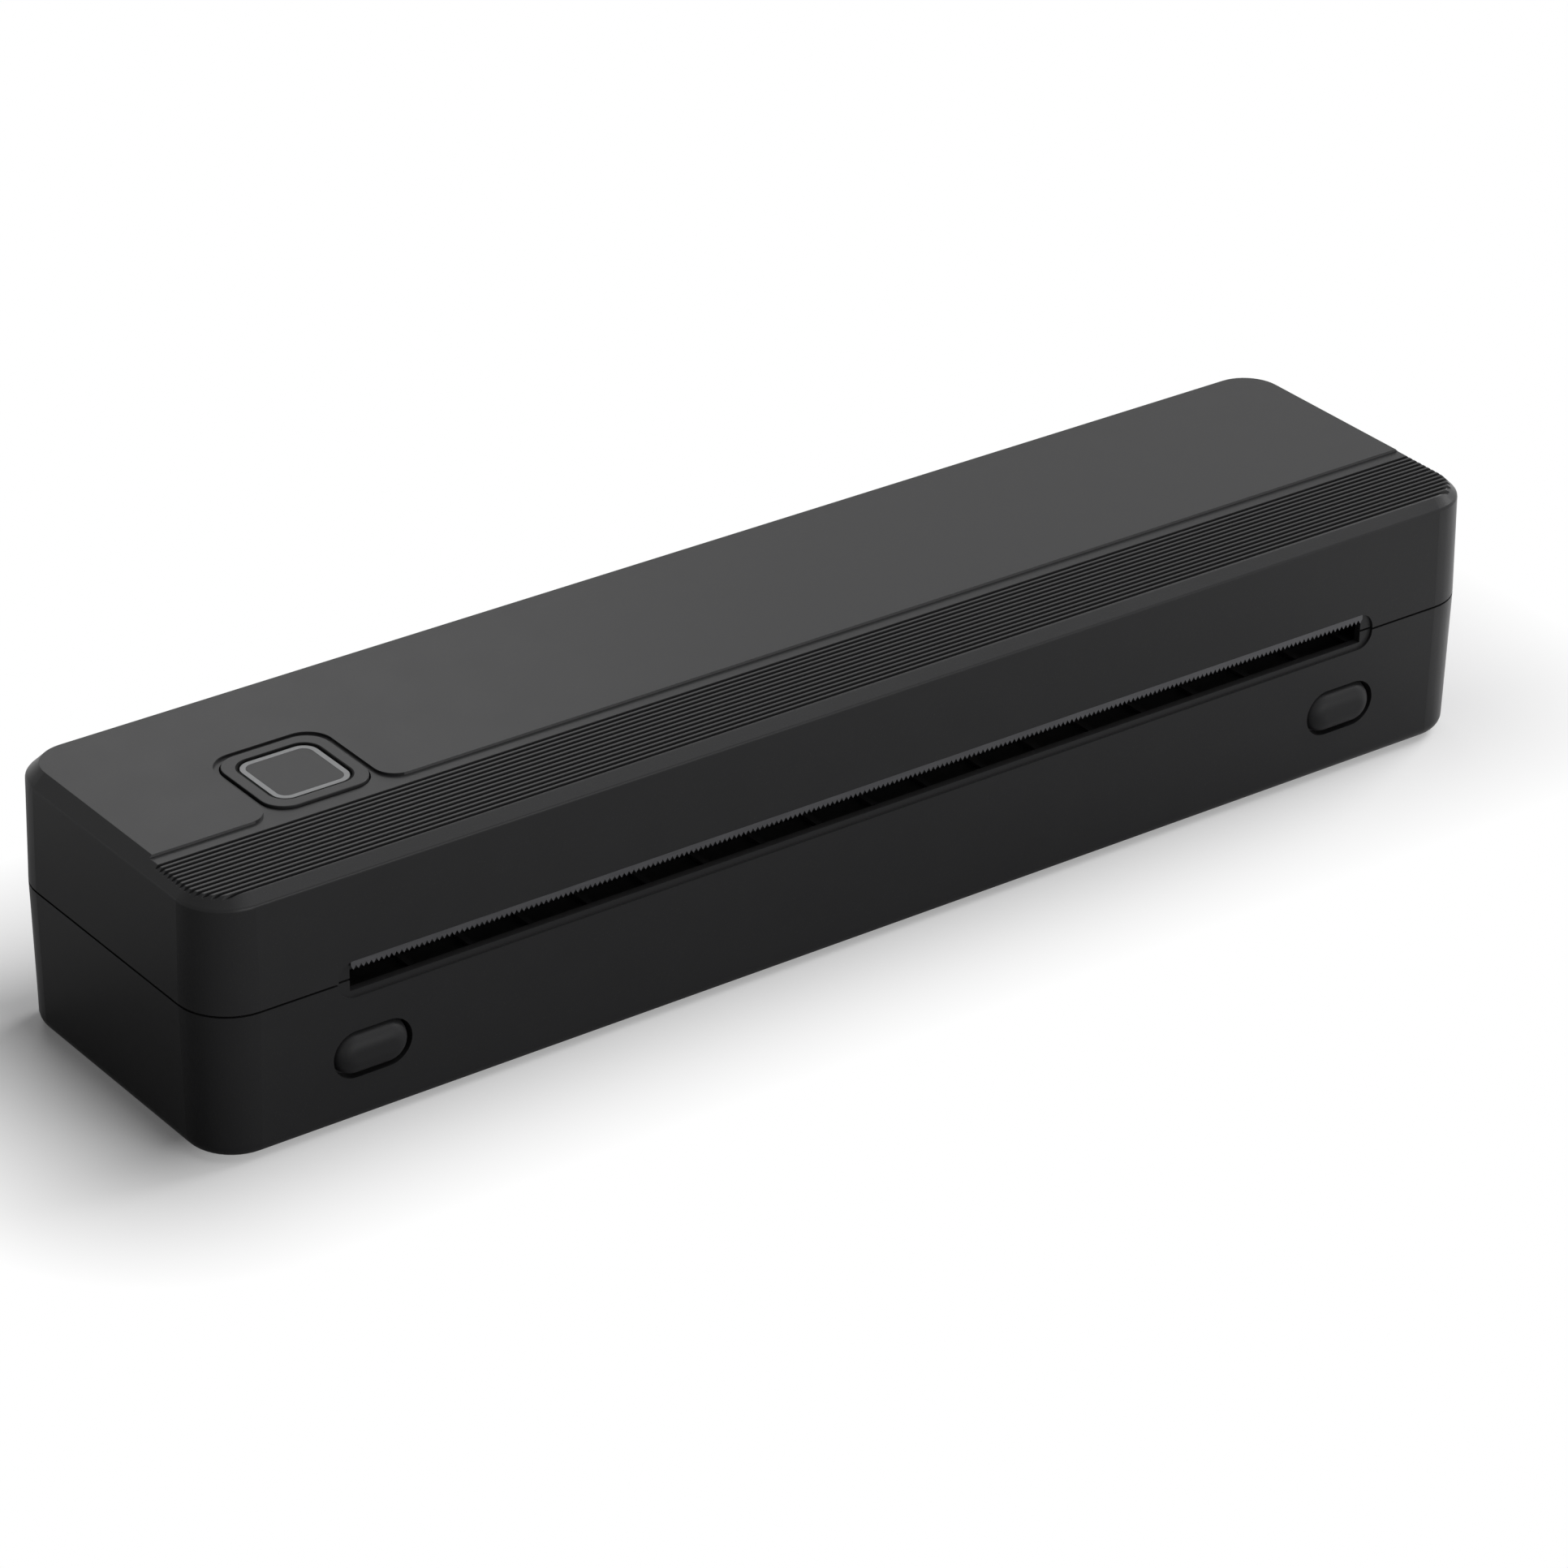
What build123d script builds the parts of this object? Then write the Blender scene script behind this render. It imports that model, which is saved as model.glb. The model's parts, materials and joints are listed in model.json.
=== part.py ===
from build123d import *
import os
from math import acos, asin, cos, degrees, pi, radians, sin, tan

# Portable A4 thermal printer: a drafted base tub and a hinged lid that meet at a parting line.
# +X runs along the printer, left to right; +Y runs from the paper exit to the hinge; +Z is up.
# The origin is under the middle of the whole printer, on the surface that it stands on.
# All sizes are in millimetres, angles in degrees.

# --- Case -------------------------------------------------------------------------------------
length = 275.0             # left end to right end at the parting line
depth = 65.5               # front face to rear face at the parting line
base_height = 27.9         # underside of the base to the parting line
lid_height = 22.2          # parting line to the top panel
corner_radius = 9.8        # corners seen from above
wall = 2.0
floor_thickness = 2.4
roof_thickness = 2.4
parting_gap = 0.4          # shadow gap between base and lid
base_draft = 0.7           # how far the base's sides lean in at the bottom
lid_draft = 0.35           # how far the lid's sides lean in at the top
base_fillet = 2.5          # round along the bottom edge
lid_bevel = 2.4            # flat bevel along the top edge
bevel_blend = 0.8          # round on the bevel's lower edge
brow_blend = 0.4           # round where the bevel meets the band
edge_blend = 0.15          # small round on sharp visible edges

# --- Feet -------------------------------------------------------------------------------------
foot_radius = 5.0
foot_thickness = 1.6
foot_proud = 0.8
foot_round = 0.25          # round on a foot's lower edge
foot_from_end = 22.0
foot_from_side = 11.0

# --- Top panel, ribbed band and power key -----------------------------------------------------
panel_step = 0.5           # the band in front of the top panel lies this much lower
panel_setback = 21.0       # front face to the edge of the top panel
rib_count = 13
rib_pitch = 1.26
rib_setback = 2.9          # front face to the first groove
rib_mouth = 0.8            # width of a groove at its top
rib_root = 0.5             # width of a groove at its bottom
rib_depth = 0.6
key_from_end = 37.45       # left end to the middle of the power key
key_setback = 32.2         # front face to the middle of the power key
key_size = 20.6
key_corner = 4.6
key_gap = 0.3              # running gap round the key
key_travel = 0.6
key_lip = 0.9              # how far the key's flange reaches under the roof
key_flange = 1.0           # thickness of that flange
recess_margin = 1.05       # key to the edge of the square recess that it stands in
recess_corner = 5.0
recess_blend = 4.2         # curve from the recess into the panel's edge
key_border = 2.8           # edge of the key to the light ring
ring_width = 1.0
ring_corner = 2.9
ring_height = 0.5
ring_sink = 0.25           # top of the ring below the top of the key
ring_gap = 0.45            # shadow gap round the ring
pad_sink = 0.25            # pad inside the ring below the top of the key

# --- Paper path -------------------------------------------------------------------------------
slot_from_end = 27.5       # end of the case to the end of the paper slot
slot_rise = 1.9            # tips of the tear bar above the parting line
slot_drop = 2.3            # lower lip below the parting line
entry_rise = 2.2           # rear slot above the parting line
entry_drop = 2.2
pocket_margin = 2.5        # shallow pocket round the front slot, past each end of it
pocket_rise = 3.6
pocket_drop = 3.5
pocket_depth = 0.6
pocket_corner = 3.2
tear_thickness = 0.5
tooth_pitch = 1.0
tooth_depth = 0.8
guide_drop = 3.2           # guide plates from the parting line, below and above
guide_thickness = 1.6
guide_rib_height = 0.8
guide_rib_width = 1.2
guide_rib_count = 19
paper_gap = 0.3            # platen to heater line

# --- Hinge ------------------------------------------------------------------------------------
hinge_standoff = 2.5       # rear face to the hinge axis
knuckle_radius = 2.2
knuckle_length = 4.7
knuckle_gap = 0.3
hinge_margin = 2.2         # end of the paper slot to the first knuckle
hinge_pin_radius = 1.0

# --- Lid latches and their release buttons ----------------------------------------------------
release_inset = 5.75       # side plate to the middle of a button
release_drop = 14.6        # parting line to the middle of a button
release_length = 14.8
release_width = 8.3
release_gap = 0.4
release_proud = 1.2
release_dome = 3.2         # round on the button's front edge
release_travel = 2.0
slider_thickness = 2.0
slider_width = 9.0
slider_gap = 0.3           # slider to the wall in front of it, and to its rail
hook_gap = 1.3             # platen gear to the hook
hook_width = 5.0
hook_thickness = 2.5
hook_rise = 6.5            # top of the hook above the parting line
nose_length = 1.0
nose_height = 2.4
catch_reach = 1.8          # catch ledge from the lid's front wall
catch_height = 1.6
catch_rise = 2.0           # underside of the catch above the parting line
catch_clearance = 0.7      # hook nose to the catch ledge, so that the lid lifts past it
latch_spring_radius = 2.2
latch_spring_length = 5.0
latch_spring_wire = 0.5
spring_wall = 1.5

# --- Platen and gear train --------------------------------------------------------------------
platen_setback = 14.0      # front face to the platen's axis
platen_radius = 6.0
platen_core_radius = 3.0
platen_end_gap = 2.0       # end of the paper slot to the end of the rubber
platen_window_gap = 0.6
journal_radius = 2.0
running_clearance = 0.05
fit_clearance = 0.02
bush_radius = 4.0
bush_flange_radius = 4.8
bush_flange = 0.6
plate_margin = 1.6         # end of the paper slot to the side plate
plate_thickness = 1.2
plate_lobe = 5.5           # radius of the side plate round the bush
plate_front = 5.5          # side plate in front of the platen's axis
plate_rear = 34.0          # side plate behind the platen's axis
gear_module = 0.5
gear_backlash = 0.10
pressure_angle = 25.0
dedendum = 1.25
platen_teeth = 28
idler_small_teeth = 16
idler_large_teeth = 30
pinion_teeth = 14
idler_angle = -50.0        # direction from the platen's axis to the idler's
gear_face = 4.0
gear_standoff = 1.4        # side plate to the first gears
gear_plane_gap = 0.5       # between the two planes of gears
large_gear_face = 3.5
idler_post_radius = 1.5
clip_radius = 2.8
clip_thickness = 0.6
clip_float = 0.4
motor_headroom = 0.6       # motor to the guide above it
motor_floor_gap = 2.1      # motor to the floor
motor_length = 18.0
motor_shaft_radius = 1.0
motor_boss_radius = 3.0
motor_face = 1.0
motor_ear_gap = 3.0        # edge of the can to a screw's axis
motor_ear_angle = 30.0     # direction from the motor's axis to the upper screw
motor_ear_width = 5.0

# --- Battery, board and socket ----------------------------------------------------------------
cell_headroom = 1.1        # cells to the guide above them
cell_length = 65.0
cell_count = 2
cell_cap_radius = 3.2
cell_cap = 0.8
cell_gap = 1.6             # between the cells
tray_gap = 1.6             # tray to the board
tray_wall = 1.2
tray_end = 1.6
tray_side = 7.0            # height of the tray's sides above its floor
board_length = 155.0
board_depth = 17.0
board_thickness = 1.6
board_left = -70.0
board_rear_gap = 0.75      # board to the rear wall
board_standoff = 3.0
board_screw_inset = 3.5
board_post_radius = 2.6
socket_along = 130.0       # left end of the board to the middle of the socket
socket_width = 8.94
socket_height = 3.26
socket_length = 7.3
socket_shell = 0.3
socket_gap = 0.35
socket_tongue = 6.6        # width of the contact tongue
# Parts on the main board: (along it, across it, length, depth, height), from its left front corner.
radio_module = (20.0, 6.2, 16.0, 11.0, 2.4)
processor = (48.0, 6.3, 10.0, 10.0, 1.4)
memory_chip = (62.0, 8.0, 6.0, 5.0, 1.2)
motor_driver = (86.0, 6.0, 7.0, 7.0, 1.2)
charger_chip = (106.0, 8.5, 5.0, 5.0, 1.0)
charger_coil = (115.0, 6.5, 8.0, 8.0, 3.6)
battery_header = (74.0, 3.5, 8.0, 4.5, 4.2)
motor_header = (144.0, 8.5, 5.5, 8.0, 4.2)
ribbon_header = (35.0, 14.4, 24.0, 4.0, 2.0)
capacitor_offsets = (93.0, 99.5)
capacitor_radius = 2.6
capacitor_height = 6.4
sensor_x = 30.0
sensor_length = 6.0
sensor_width = 4.0
sensor_drop = 0.5          # sensor's foot below the guide
sensor_setback = 10.5      # platen's axis to the sensor
sensor_sink = 0.2

# --- Screws -----------------------------------------------------------------------------------
screw_radius = 1.0
screw_clearance = 0.05
screw_head_radius = 1.7
screw_head = 1.0
screw_length = 5.0
drive_length = 2.0         # cross recess in a screw's head
drive_width = 0.5
drive_depth = 0.5
guide_post_radius = 2.4
guide_post_board_gap = 15.0     # end of the board to the rear posts
guide_post_setback = 10.0       # platen's axis to the front posts
guide_counterbore = 0.6         # screw heads sunk into the guide
guide_post_rear_inset = 5.75    # rear face to the rear posts

# --- Print head and lid frame -----------------------------------------------------------------
head_end_gap = 2.0         # end of the paper slot to the end of the ceramic
head_depth = 18.0
head_lead = 4.0            # ceramic in front of the heater line
ceramic_thickness = 1.0
heater_width = 1.2
heater_height = 0.06
driver_depth = 5.0
driver_setback = 8.0
driver_height = 1.0
driver_inset = 4.0
sink_thickness = 5.0
sink_overhang = 2.2
sink_groove_count = 3
sink_groove_width = 1.4
sink_groove_depth = 1.6
pivot_setback = 17.75      # heater line to the head's pivot
pivot_rise = 4.5           # pivot above the parting line
pivot_radius = 1.5
lug_radius = 2.6
lug_width = 8.0
lug_inset = 20.0           # end of the paper slot to the middle of a lug
frame_end_gap = 1.2        # end of the paper slot to the frame's end plates
frame_wall = 1.6
frame_boss_height = 6.4    # roof to the top of the frame
frame_web = 1.4
frame_front = 6.5          # frame in front of the heater line
frame_rear = 33.0          # rear wall of the frame behind the heater line
guide_lead = 0.65          # head's lugs to the upper guide's front edge
end_plate_gap = 0.6        # frame's end plates above the parting line
ledge_gap = 0.1
ledge_thickness = 0.6
head_spring_count = 3
head_spring_pitch = 60.0
head_spring_radius = 3.0
head_spring_wire = 0.6
head_spring_setback = 3.5
head_spring_seat = 0.05
frame_boss_inset = 32.0    # end of the paper slot to the bosses
frame_boss_front = -2.0
frame_boss_rear = 26.0
frame_boss_radius = 3.0
switch_size = 6.0
switch_height = 2.0
plunger_radius = 1.4
plunger_root = 1.0         # length of the plunger inside the switch at rest
key_board_length = 26.0
key_board_depth = 23.0
key_board_thickness = 1.0
key_board_post = 0.9
key_board_screw_inset = 2.4
light_length = 2.0
light_width = 1.2
light_height = 0.8

# --- Places worked out from the sizes above ---------------------------------------------------
rear_reach = hinge_standoff + knuckle_radius
release_lean = base_draft * release_drop / base_height
slider_lean = base_draft * (release_drop + slider_width / 2) / base_height
front_y = -(depth + rear_reach + release_lean - release_proud) / 2
rear_y = front_y + depth
middle_y = (front_y + rear_y) / 2
case_z = foot_proud
floor_z = case_z + floor_thickness
split_z = case_z + base_height
top_z = split_z + lid_height
band_z = top_z - panel_step
roof_z = top_z - roof_thickness
inner_front_y = front_y + wall
inner_rear_y = rear_y - wall
base_rim_z = split_z - parting_gap / 2
lid_rim_z = split_z + parting_gap / 2
panel_y = front_y + panel_setback
key_x = key_from_end - length / 2
key_y = front_y + key_setback
recess_size = key_size + 2 * recess_margin
ring_size = key_size - 2 * key_border
key_flange_z = roof_z - running_clearance
slot_length = length - 2 * slot_from_end
pocket_length = slot_length + 2 * pocket_margin
platen_length = slot_length - 2 * platen_end_gap
head_length = slot_length - 2 * head_end_gap
hinge_y = rear_y + hinge_standoff
hinge_start = slot_length / 2 + hinge_margin
platen_y = front_y + platen_setback
platen_z = split_z - platen_radius
heater_z = split_z + paper_gap
plate_x = slot_length / 2 + plate_margin
plate_outer_x = plate_x + plate_thickness
gear_x = plate_outer_x + gear_standoff
large_gear_x = gear_x + gear_face + gear_plane_gap
post_end_x = large_gear_x + large_gear_face + clip_float + clip_thickness + clip_float
plate_flange = gear_standoff + gear_face
release_x = plate_x - release_inset
release_z = split_z - release_drop
hook_inner_x = gear_x + gear_face + hook_gap
hook_outer_x = hook_inner_x + hook_width
catch_rear_y = inner_front_y + catch_reach
nose_y = catch_rear_y + catch_clearance
hook_front_y = nose_y + nose_length
hook_rear_y = hook_front_y + hook_thickness
release_front_y = front_y + release_lean - release_proud
slider_front_y = inner_front_y + slider_lean + slider_gap
slider_rear_y = slider_front_y + slider_thickness
spring_wall_y = slider_rear_y + latch_spring_length
guide_top_z = split_z - guide_drop
guide_under_z = guide_top_z - guide_thickness
idler_distance = gear_module * (platen_teeth + idler_small_teeth) / 2
motor_distance = gear_module * (idler_large_teeth + pinion_teeth) / 2
idler_y = platen_y + idler_distance * cos(radians(idler_angle))
idler_z = platen_z + idler_distance * sin(radians(idler_angle))
motor_radius = (guide_under_z - motor_headroom - motor_floor_gap - floor_z) / 2
motor_ear_reach = motor_radius + motor_ear_gap
motor_z = floor_z + motor_floor_gap + motor_radius
motor_angle = degrees(asin((motor_z - idler_z) / motor_distance))
motor_y = idler_y + motor_distance * cos(radians(motor_angle))
board_front_y = inner_rear_y - board_rear_gap - board_depth
cell_radius = (guide_under_z - cell_headroom - tray_wall - floor_z) / 2
cell_y = board_front_y - tray_gap - tray_wall - cell_radius
cell_z = floor_z + tray_wall + cell_radius
tray_end_x = cell_count * (cell_length + cell_gap) / 2 + tray_end
guide_post_front_x = (tray_end_x + plate_x - motor_length) / 2
guide_post_rear_x = board_left + board_length + guide_post_board_gap
board_z = floor_z + board_standoff
board_top_z = board_z + board_thickness
socket_x = board_left + socket_along
socket_z = board_top_z + socket_height / 2
ceramic_top_z = heater_z + ceramic_thickness
sink_top_z = ceramic_top_z + sink_thickness
head_front_y = platen_y - head_lead
head_rear_y = head_front_y + head_depth
pivot_y = platen_y + pivot_setback
pivot_z = split_z + pivot_rise
frame_x = slot_length / 2 + frame_end_gap
frame_outer_x = frame_x + frame_wall
frame_top_z = roof_z - frame_boss_height
frame_under_z = frame_top_z - frame_web
frame_front_y = platen_y - frame_front
frame_rear_y = platen_y + frame_rear
upper_guide_z = split_z + guide_drop
upper_guide_front = pivot_setback + lug_radius + guide_lead
lug_x = slot_length / 2 - lug_inset
frame_boss_x = slot_length / 2 - frame_boss_inset
key_board_z = frame_top_z + key_board_post
key_board_top_z = key_board_z + key_board_thickness
switch_top_z = key_board_top_z + switch_height
screw_hole_radius = screw_radius + screw_clearance
overcut = 1.0              # how far a cutting tool runs past the face that it cuts


# --- Building blocks --------------------------------------------------------------------------
def block(x0, x1, y0, y1, z0, z1):
    """Box between two corners."""
    middle = Pos((x0 + x1) / 2, (y0 + y1) / 2, (z0 + z1) / 2)
    return middle * Box(abs(x1 - x0), abs(y1 - y0), abs(z1 - z0))


def post(x, y, z0, z1, radius):
    """Upright cylinder."""
    return Pos(x, y, (z0 + z1) / 2) * Cylinder(radius, abs(z1 - z0))


def rod(x0, x1, y, z, radius):
    """Cylinder along X."""
    section = Plane.YZ.offset(x0) * Pos(y, z) * Circle(radius)
    return extrude(section, x1 - x0)


def slab(width, height, corner, z0, z1, x, y):
    """Flat plate with rounded corners seen from above."""
    return Pos(x, y, z0) * extrude(RectangleRounded(width, height, corner), z1 - z0)


def through_front(sketch, y0, y1):
    """Sketch in X and Z, run along Y between two depths."""
    return extrude(Plane.XZ.offset(-y1) * sketch, y1 - y0)


def along_x(points, x0, x1):
    """Outline in Y and Z, run along X between two places."""
    outline = make_face(Polyline(*points, close=True))
    return extrude(Plane.YZ.offset(x0) * outline, x1 - x0)


def both_ends(shape):
    """A shape and its mirror image at the other end of the printer."""
    return [shape, mirror(shape, Plane.YZ)]


def group(shapes):
    """Separate solids kept together in one node."""
    solids = [solid for shape in shapes for solid in shape.solids()]
    return Compound(solids)


def case_block(inset, corner, z0, z1, lean):
    """Rounded block with the case's plan, inset all round, whose sides lean in by a draft."""
    plan = RectangleRounded(length - 2 * inset, depth - 2 * inset, corner)
    angle = Vector(abs(z1 - z0), lean).get_angle(Vector(1, 0))
    return extrude(Pos(0, middle_y, z0) * plan, z1 - z0, taper=angle)


def screw(x, y, z, reach):
    """Pan-head screw pointing down, with its head's seat at z."""
    shank = post(x, y, z - reach, z, screw_radius)
    head = post(x, y, z, z + screw_head, screw_head_radius)
    top = Pos(x, y, z + screw_head)
    drive = top * Box(drive_length, drive_width, 2 * drive_depth)
    cross = top * Box(drive_width, drive_length, 2 * drive_depth)
    return shank + head - drive - cross


def spring(z0, z1, radius, wire):
    """Spring as the sleeve that its coils fill, upright at the origin."""
    return Pos(0, 0, (z0 + z1) / 2) * (Cylinder(radius, z1 - z0) - Cylinder(radius - 2 * wire, z1 - z0))


def gear(teeth, turn, x0, x1, y, z, bore):
    """Spur gear along X with involute flanks; one tooth points along the angle turn."""
    pitch_radius = gear_module * teeth / 2
    base_radius = pitch_radius * cos(radians(pressure_angle))
    tip_radius = pitch_radius + gear_module
    root_radius = pitch_radius - dedendum * gear_module
    start_radius = max(root_radius, base_radius)
    half_pitch_tooth = pi / (2 * teeth) - gear_backlash / (2 * pitch_radius)

    def involute(radius):
        angle = acos(base_radius / radius)
        return tan(angle) - angle

    def half_tooth(radius):
        return half_pitch_tooth + involute(pitch_radius) - involute(radius)

    flank = [start_radius, (start_radius + tip_radius) / 2, tip_radius]
    rising = [(root_radius, -half_tooth(start_radius))] + [(r, -half_tooth(r)) for r in flank]
    falling = [(r, -angle) for r, angle in reversed(rising)]
    outline = []
    for tooth in range(teeth):
        middle = radians(turn) + 2 * pi * tooth / teeth
        for radius, angle in rising + falling:
            outline.append((y + radius * cos(middle + angle), z + radius * sin(middle + angle)))
    if root_radius >= base_radius:
        per_tooth = 2 * len(rising)
        outline = [p for n, p in enumerate(outline) if n % per_tooth not in (0, per_tooth - 1)]
    return along_x(outline, x0, x1) - rod(x0 - overcut, x1 + overcut, y, z, bore)


# --- Lid --------------------------------------------------------------------------------------
def level_edges(shape, z):
    """Edges that lie flat at one height."""
    flat = [edge for edge in shape.edges() if edge.bounding_box().size.Z < edge_blend]
    return [edge for edge in flat if abs(edge.bounding_box().min.Z - z) < edge_blend]


def lowered_band():
    """Tool for the band in front of the top panel, with the recess that the key stands in."""
    half = recess_size / 2
    band_middle = Pos(0, panel_y - panel_setback / 2 - overcut)
    band = band_middle * Rectangle(length + 2 * overcut, panel_setback + 2 * overcut)
    recess_front = panel_y - half / 2
    recess_rear = key_y + half
    recess_middle = (recess_front + recess_rear) / 2
    band += Pos(key_x, recess_middle) * Rectangle(recess_size, recess_rear - recess_front)
    rear_corners = [v for v in band.vertices() if v.Y > recess_rear - overcut]
    band = fillet(rear_corners, recess_corner)
    inner_corners = [
        v for v in band.vertices()
        if abs(v.Y - panel_y) < panel_step and abs(abs(v.X - key_x) - half) < panel_step
    ]
    band = fillet(inner_corners, recess_blend)
    return Pos(0, 0, band_z) * extrude(band, panel_step + overcut)


def rib_grooves():
    """Tools for the fine grooves that run the length of the band."""
    grooves = []
    for number in range(rib_count):
        y = front_y + rib_setback + number * rib_pitch
        slope = (rib_mouth - rib_root) / 2 / rib_depth
        mouth = rib_mouth / 2 + overcut * slope
        outline = [
            (y - rib_root / 2, band_z - rib_depth),
            (y + rib_root / 2, band_z - rib_depth),
            (y + mouth, band_z + overcut),
            (y - mouth, band_z + overcut),
        ]
        grooves.append(along_x(outline, -length / 2 - overcut, length / 2 + overcut))
    return grooves


def slot_pocket():
    """Tool for the shallow rounded pocket round the front slot, across the parting line."""
    height = pocket_rise + pocket_drop
    middle = Pos(0, split_z + (pocket_rise - pocket_drop) / 2)
    return through_front(middle * RectangleRounded(pocket_length, height, pocket_corner),
                         front_y - overcut, front_y + pocket_depth)


def slot_cut(y0, y1, drop, rise):
    """Tool for a slot as long as the paper path is wide."""
    return block(-slot_length / 2, slot_length / 2, y0, y1, split_z - drop, split_z + rise)


def knuckle(first, bore, z0, z1, wall_y):
    """Hinge knuckle with its web to the rear wall; first is where it starts along X."""
    last = first + knuckle_length
    barrel = rod(first, last, hinge_y, split_z, knuckle_radius)
    web = block(first, last, wall_y, hinge_y, z0, z1)
    return barrel + web - rod(first - overcut, last + overcut, hinge_y, split_z, bore)


def top_cover():
    """Lid shell: bevelled, ribbed and stepped on top, with the front pocket and hinge knuckles."""
    shell = case_block(0, corner_radius, lid_rim_z, top_z, lid_draft)
    top_edges = shell.faces().sort_by(Axis.Z)[-1].edges()
    shell = chamfer(top_edges, lid_bevel)
    shell = fillet(level_edges(shell, top_z - lid_bevel), bevel_blend)
    shell = fillet(level_edges(shell, top_z), edge_blend)
    shell -= case_block(wall, corner_radius - wall, lid_rim_z - overcut, roof_z, lid_draft)
    shell -= lowered_band()
    brow = [edge for edge in level_edges(shell, band_z) if edge.center().Y < front_y + lid_bevel]
    shell = fillet(brow, brow_blend)
    shell -= rib_grooves()
    opening = key_size + 2 * key_gap
    shell -= slab(opening, opening, key_corner + key_gap, roof_z - overcut, top_z + overcut, key_x, key_y)
    shell -= slot_pocket()
    shell -= slot_cut(front_y - overcut, inner_front_y + overcut, slot_drop, slot_rise + tooth_depth)
    shell -= slot_cut(inner_rear_y - overcut, rear_y + overcut, entry_drop, entry_rise)
    for side in (-1, 1):
        for y in (platen_y + frame_boss_front, platen_y + frame_boss_rear):
            boss = post(side * frame_boss_x, y, frame_top_z, roof_z + overcut, frame_boss_radius)
            pilot = post(side * frame_boss_x, y, frame_top_z - overcut, roof_z, screw_radius)
            shell += boss - pilot
    catch_z = split_z + catch_rise
    ledge = block(hook_inner_x, hook_outer_x, inner_front_y - wall / 2, catch_rear_y,
                  catch_z, catch_z + catch_height)
    first = hinge_start + knuckle_length + knuckle_gap
    barrel = knuckle(first, hinge_pin_radius + running_clearance,
                     lid_rim_z, split_z + knuckle_radius, rear_y - wall / 2)
    for piece in both_ends(ledge) + both_ends(barrel):
        shell += piece
    return shell


def tear_bar():
    """Saw-toothed strip seated in the pocket, its tips hanging over the slot."""
    rear = front_y + pocket_depth
    tip_z = split_z + slot_rise
    root_z = tip_z + tooth_depth
    top = split_z + pocket_rise - running_clearance
    half = slot_length / 2
    count = int(slot_length / tooth_pitch)
    points = [(half, top), (-half, top), (-half, root_z)]
    for number in range(count):
        start = -half + number * tooth_pitch
        points.append((start + tooth_pitch / 2, tip_z))
        points.append((start + tooth_pitch, root_z))
    outline = make_face(Polyline(*points, close=True))
    return through_front(outline, rear - tear_thickness, rear)


def lid_frame():
    """Carrier under the lid: web, end plates, rear wall and ribbed upper paper guide."""
    web = block(-frame_outer_x, frame_outer_x, frame_front_y, frame_rear_y, frame_under_z, frame_top_z)
    frame = web
    frame += block(-frame_outer_x, frame_outer_x, frame_rear_y - frame_wall, frame_rear_y,
                   upper_guide_z, frame_top_z)
    guide_rear = inner_rear_y - slider_gap
    guide_front = platen_y + upper_guide_front
    frame += block(-frame_outer_x, frame_outer_x, guide_front, guide_rear,
                   upper_guide_z, upper_guide_z + guide_thickness)
    for x in guide_rib_places():
        frame += block(x - guide_rib_width / 2, x + guide_rib_width / 2, guide_front, guide_rear,
                       upper_guide_z - guide_rib_height, upper_guide_z)
    end_plate = block(frame_x, frame_outer_x, frame_front_y, frame_rear_y,
                      split_z + end_plate_gap, frame_top_z)
    ledge_z = ceramic_top_z - ledge_gap
    ledge = block(head_length / 2 + sink_overhang / 2, frame_outer_x, head_front_y, head_rear_y,
                  ledge_z - ledge_thickness, ledge_z)
    for piece in both_ends(end_plate) + both_ends(ledge):
        frame += piece
    frame -= rod(-frame_outer_x - overcut, frame_outer_x + overcut, pivot_y, pivot_z, pivot_radius)
    for x, y in frame_screw_places():
        frame -= post(x, y, frame_under_z - overcut, frame_top_z + overcut, screw_hole_radius)
    for x, y in key_board_screw_places():
        foot = post(x, y, frame_top_z - frame_web / 2, key_board_z, screw_head_radius)
        frame += foot
        frame -= post(x, y, frame_under_z - overcut, key_board_z + overcut, screw_radius)
    return frame


def guide_rib_places():
    """Where the paper guides' ribs stand along X."""
    span = slot_length - 2 * guide_rib_width
    return [-span / 2 + span * number / (guide_rib_count - 1) for number in range(guide_rib_count)]


def frame_screw_places():
    """Screws that hold the lid frame to the cover's bosses."""
    rows = (platen_y + frame_boss_front, platen_y + frame_boss_rear)
    return [(side * frame_boss_x, y) for side in (-1, 1) for y in rows]


def frame_screws():
    """Screws driven up into the cover's bosses, heads under the web."""
    screws = []
    for x, y in frame_screw_places():
        upright = screw(0, 0, 0, screw_length)
        screws.append(Pos(x, y, frame_under_z) * Rot(180, 0, 0) * upright)
    return group(screws)


def key_board_screw_places():
    """Screws and feet at two opposite corners of the key board."""
    reach_x = key_board_length / 2 - key_board_screw_inset
    reach_y = key_board_depth / 2 - key_board_screw_inset
    return [(key_x - reach_x, key_y - reach_y), (key_x + reach_x, key_y + reach_y)]


def key_board():
    """Small board under the power key."""
    board = slab(key_board_length, key_board_depth, key_board_screw_inset / 2,
                 key_board_z, key_board_top_z, key_x, key_y)
    for x, y in key_board_screw_places():
        board -= post(x, y, key_board_z - overcut, key_board_top_z + overcut, screw_hole_radius)
    return board


def key_board_screws():
    """Screws through the key board into the lid frame."""
    reach = key_board_top_z - frame_under_z
    return group([screw(x, y, key_board_top_z, reach) for x, y in key_board_screw_places()])


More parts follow.
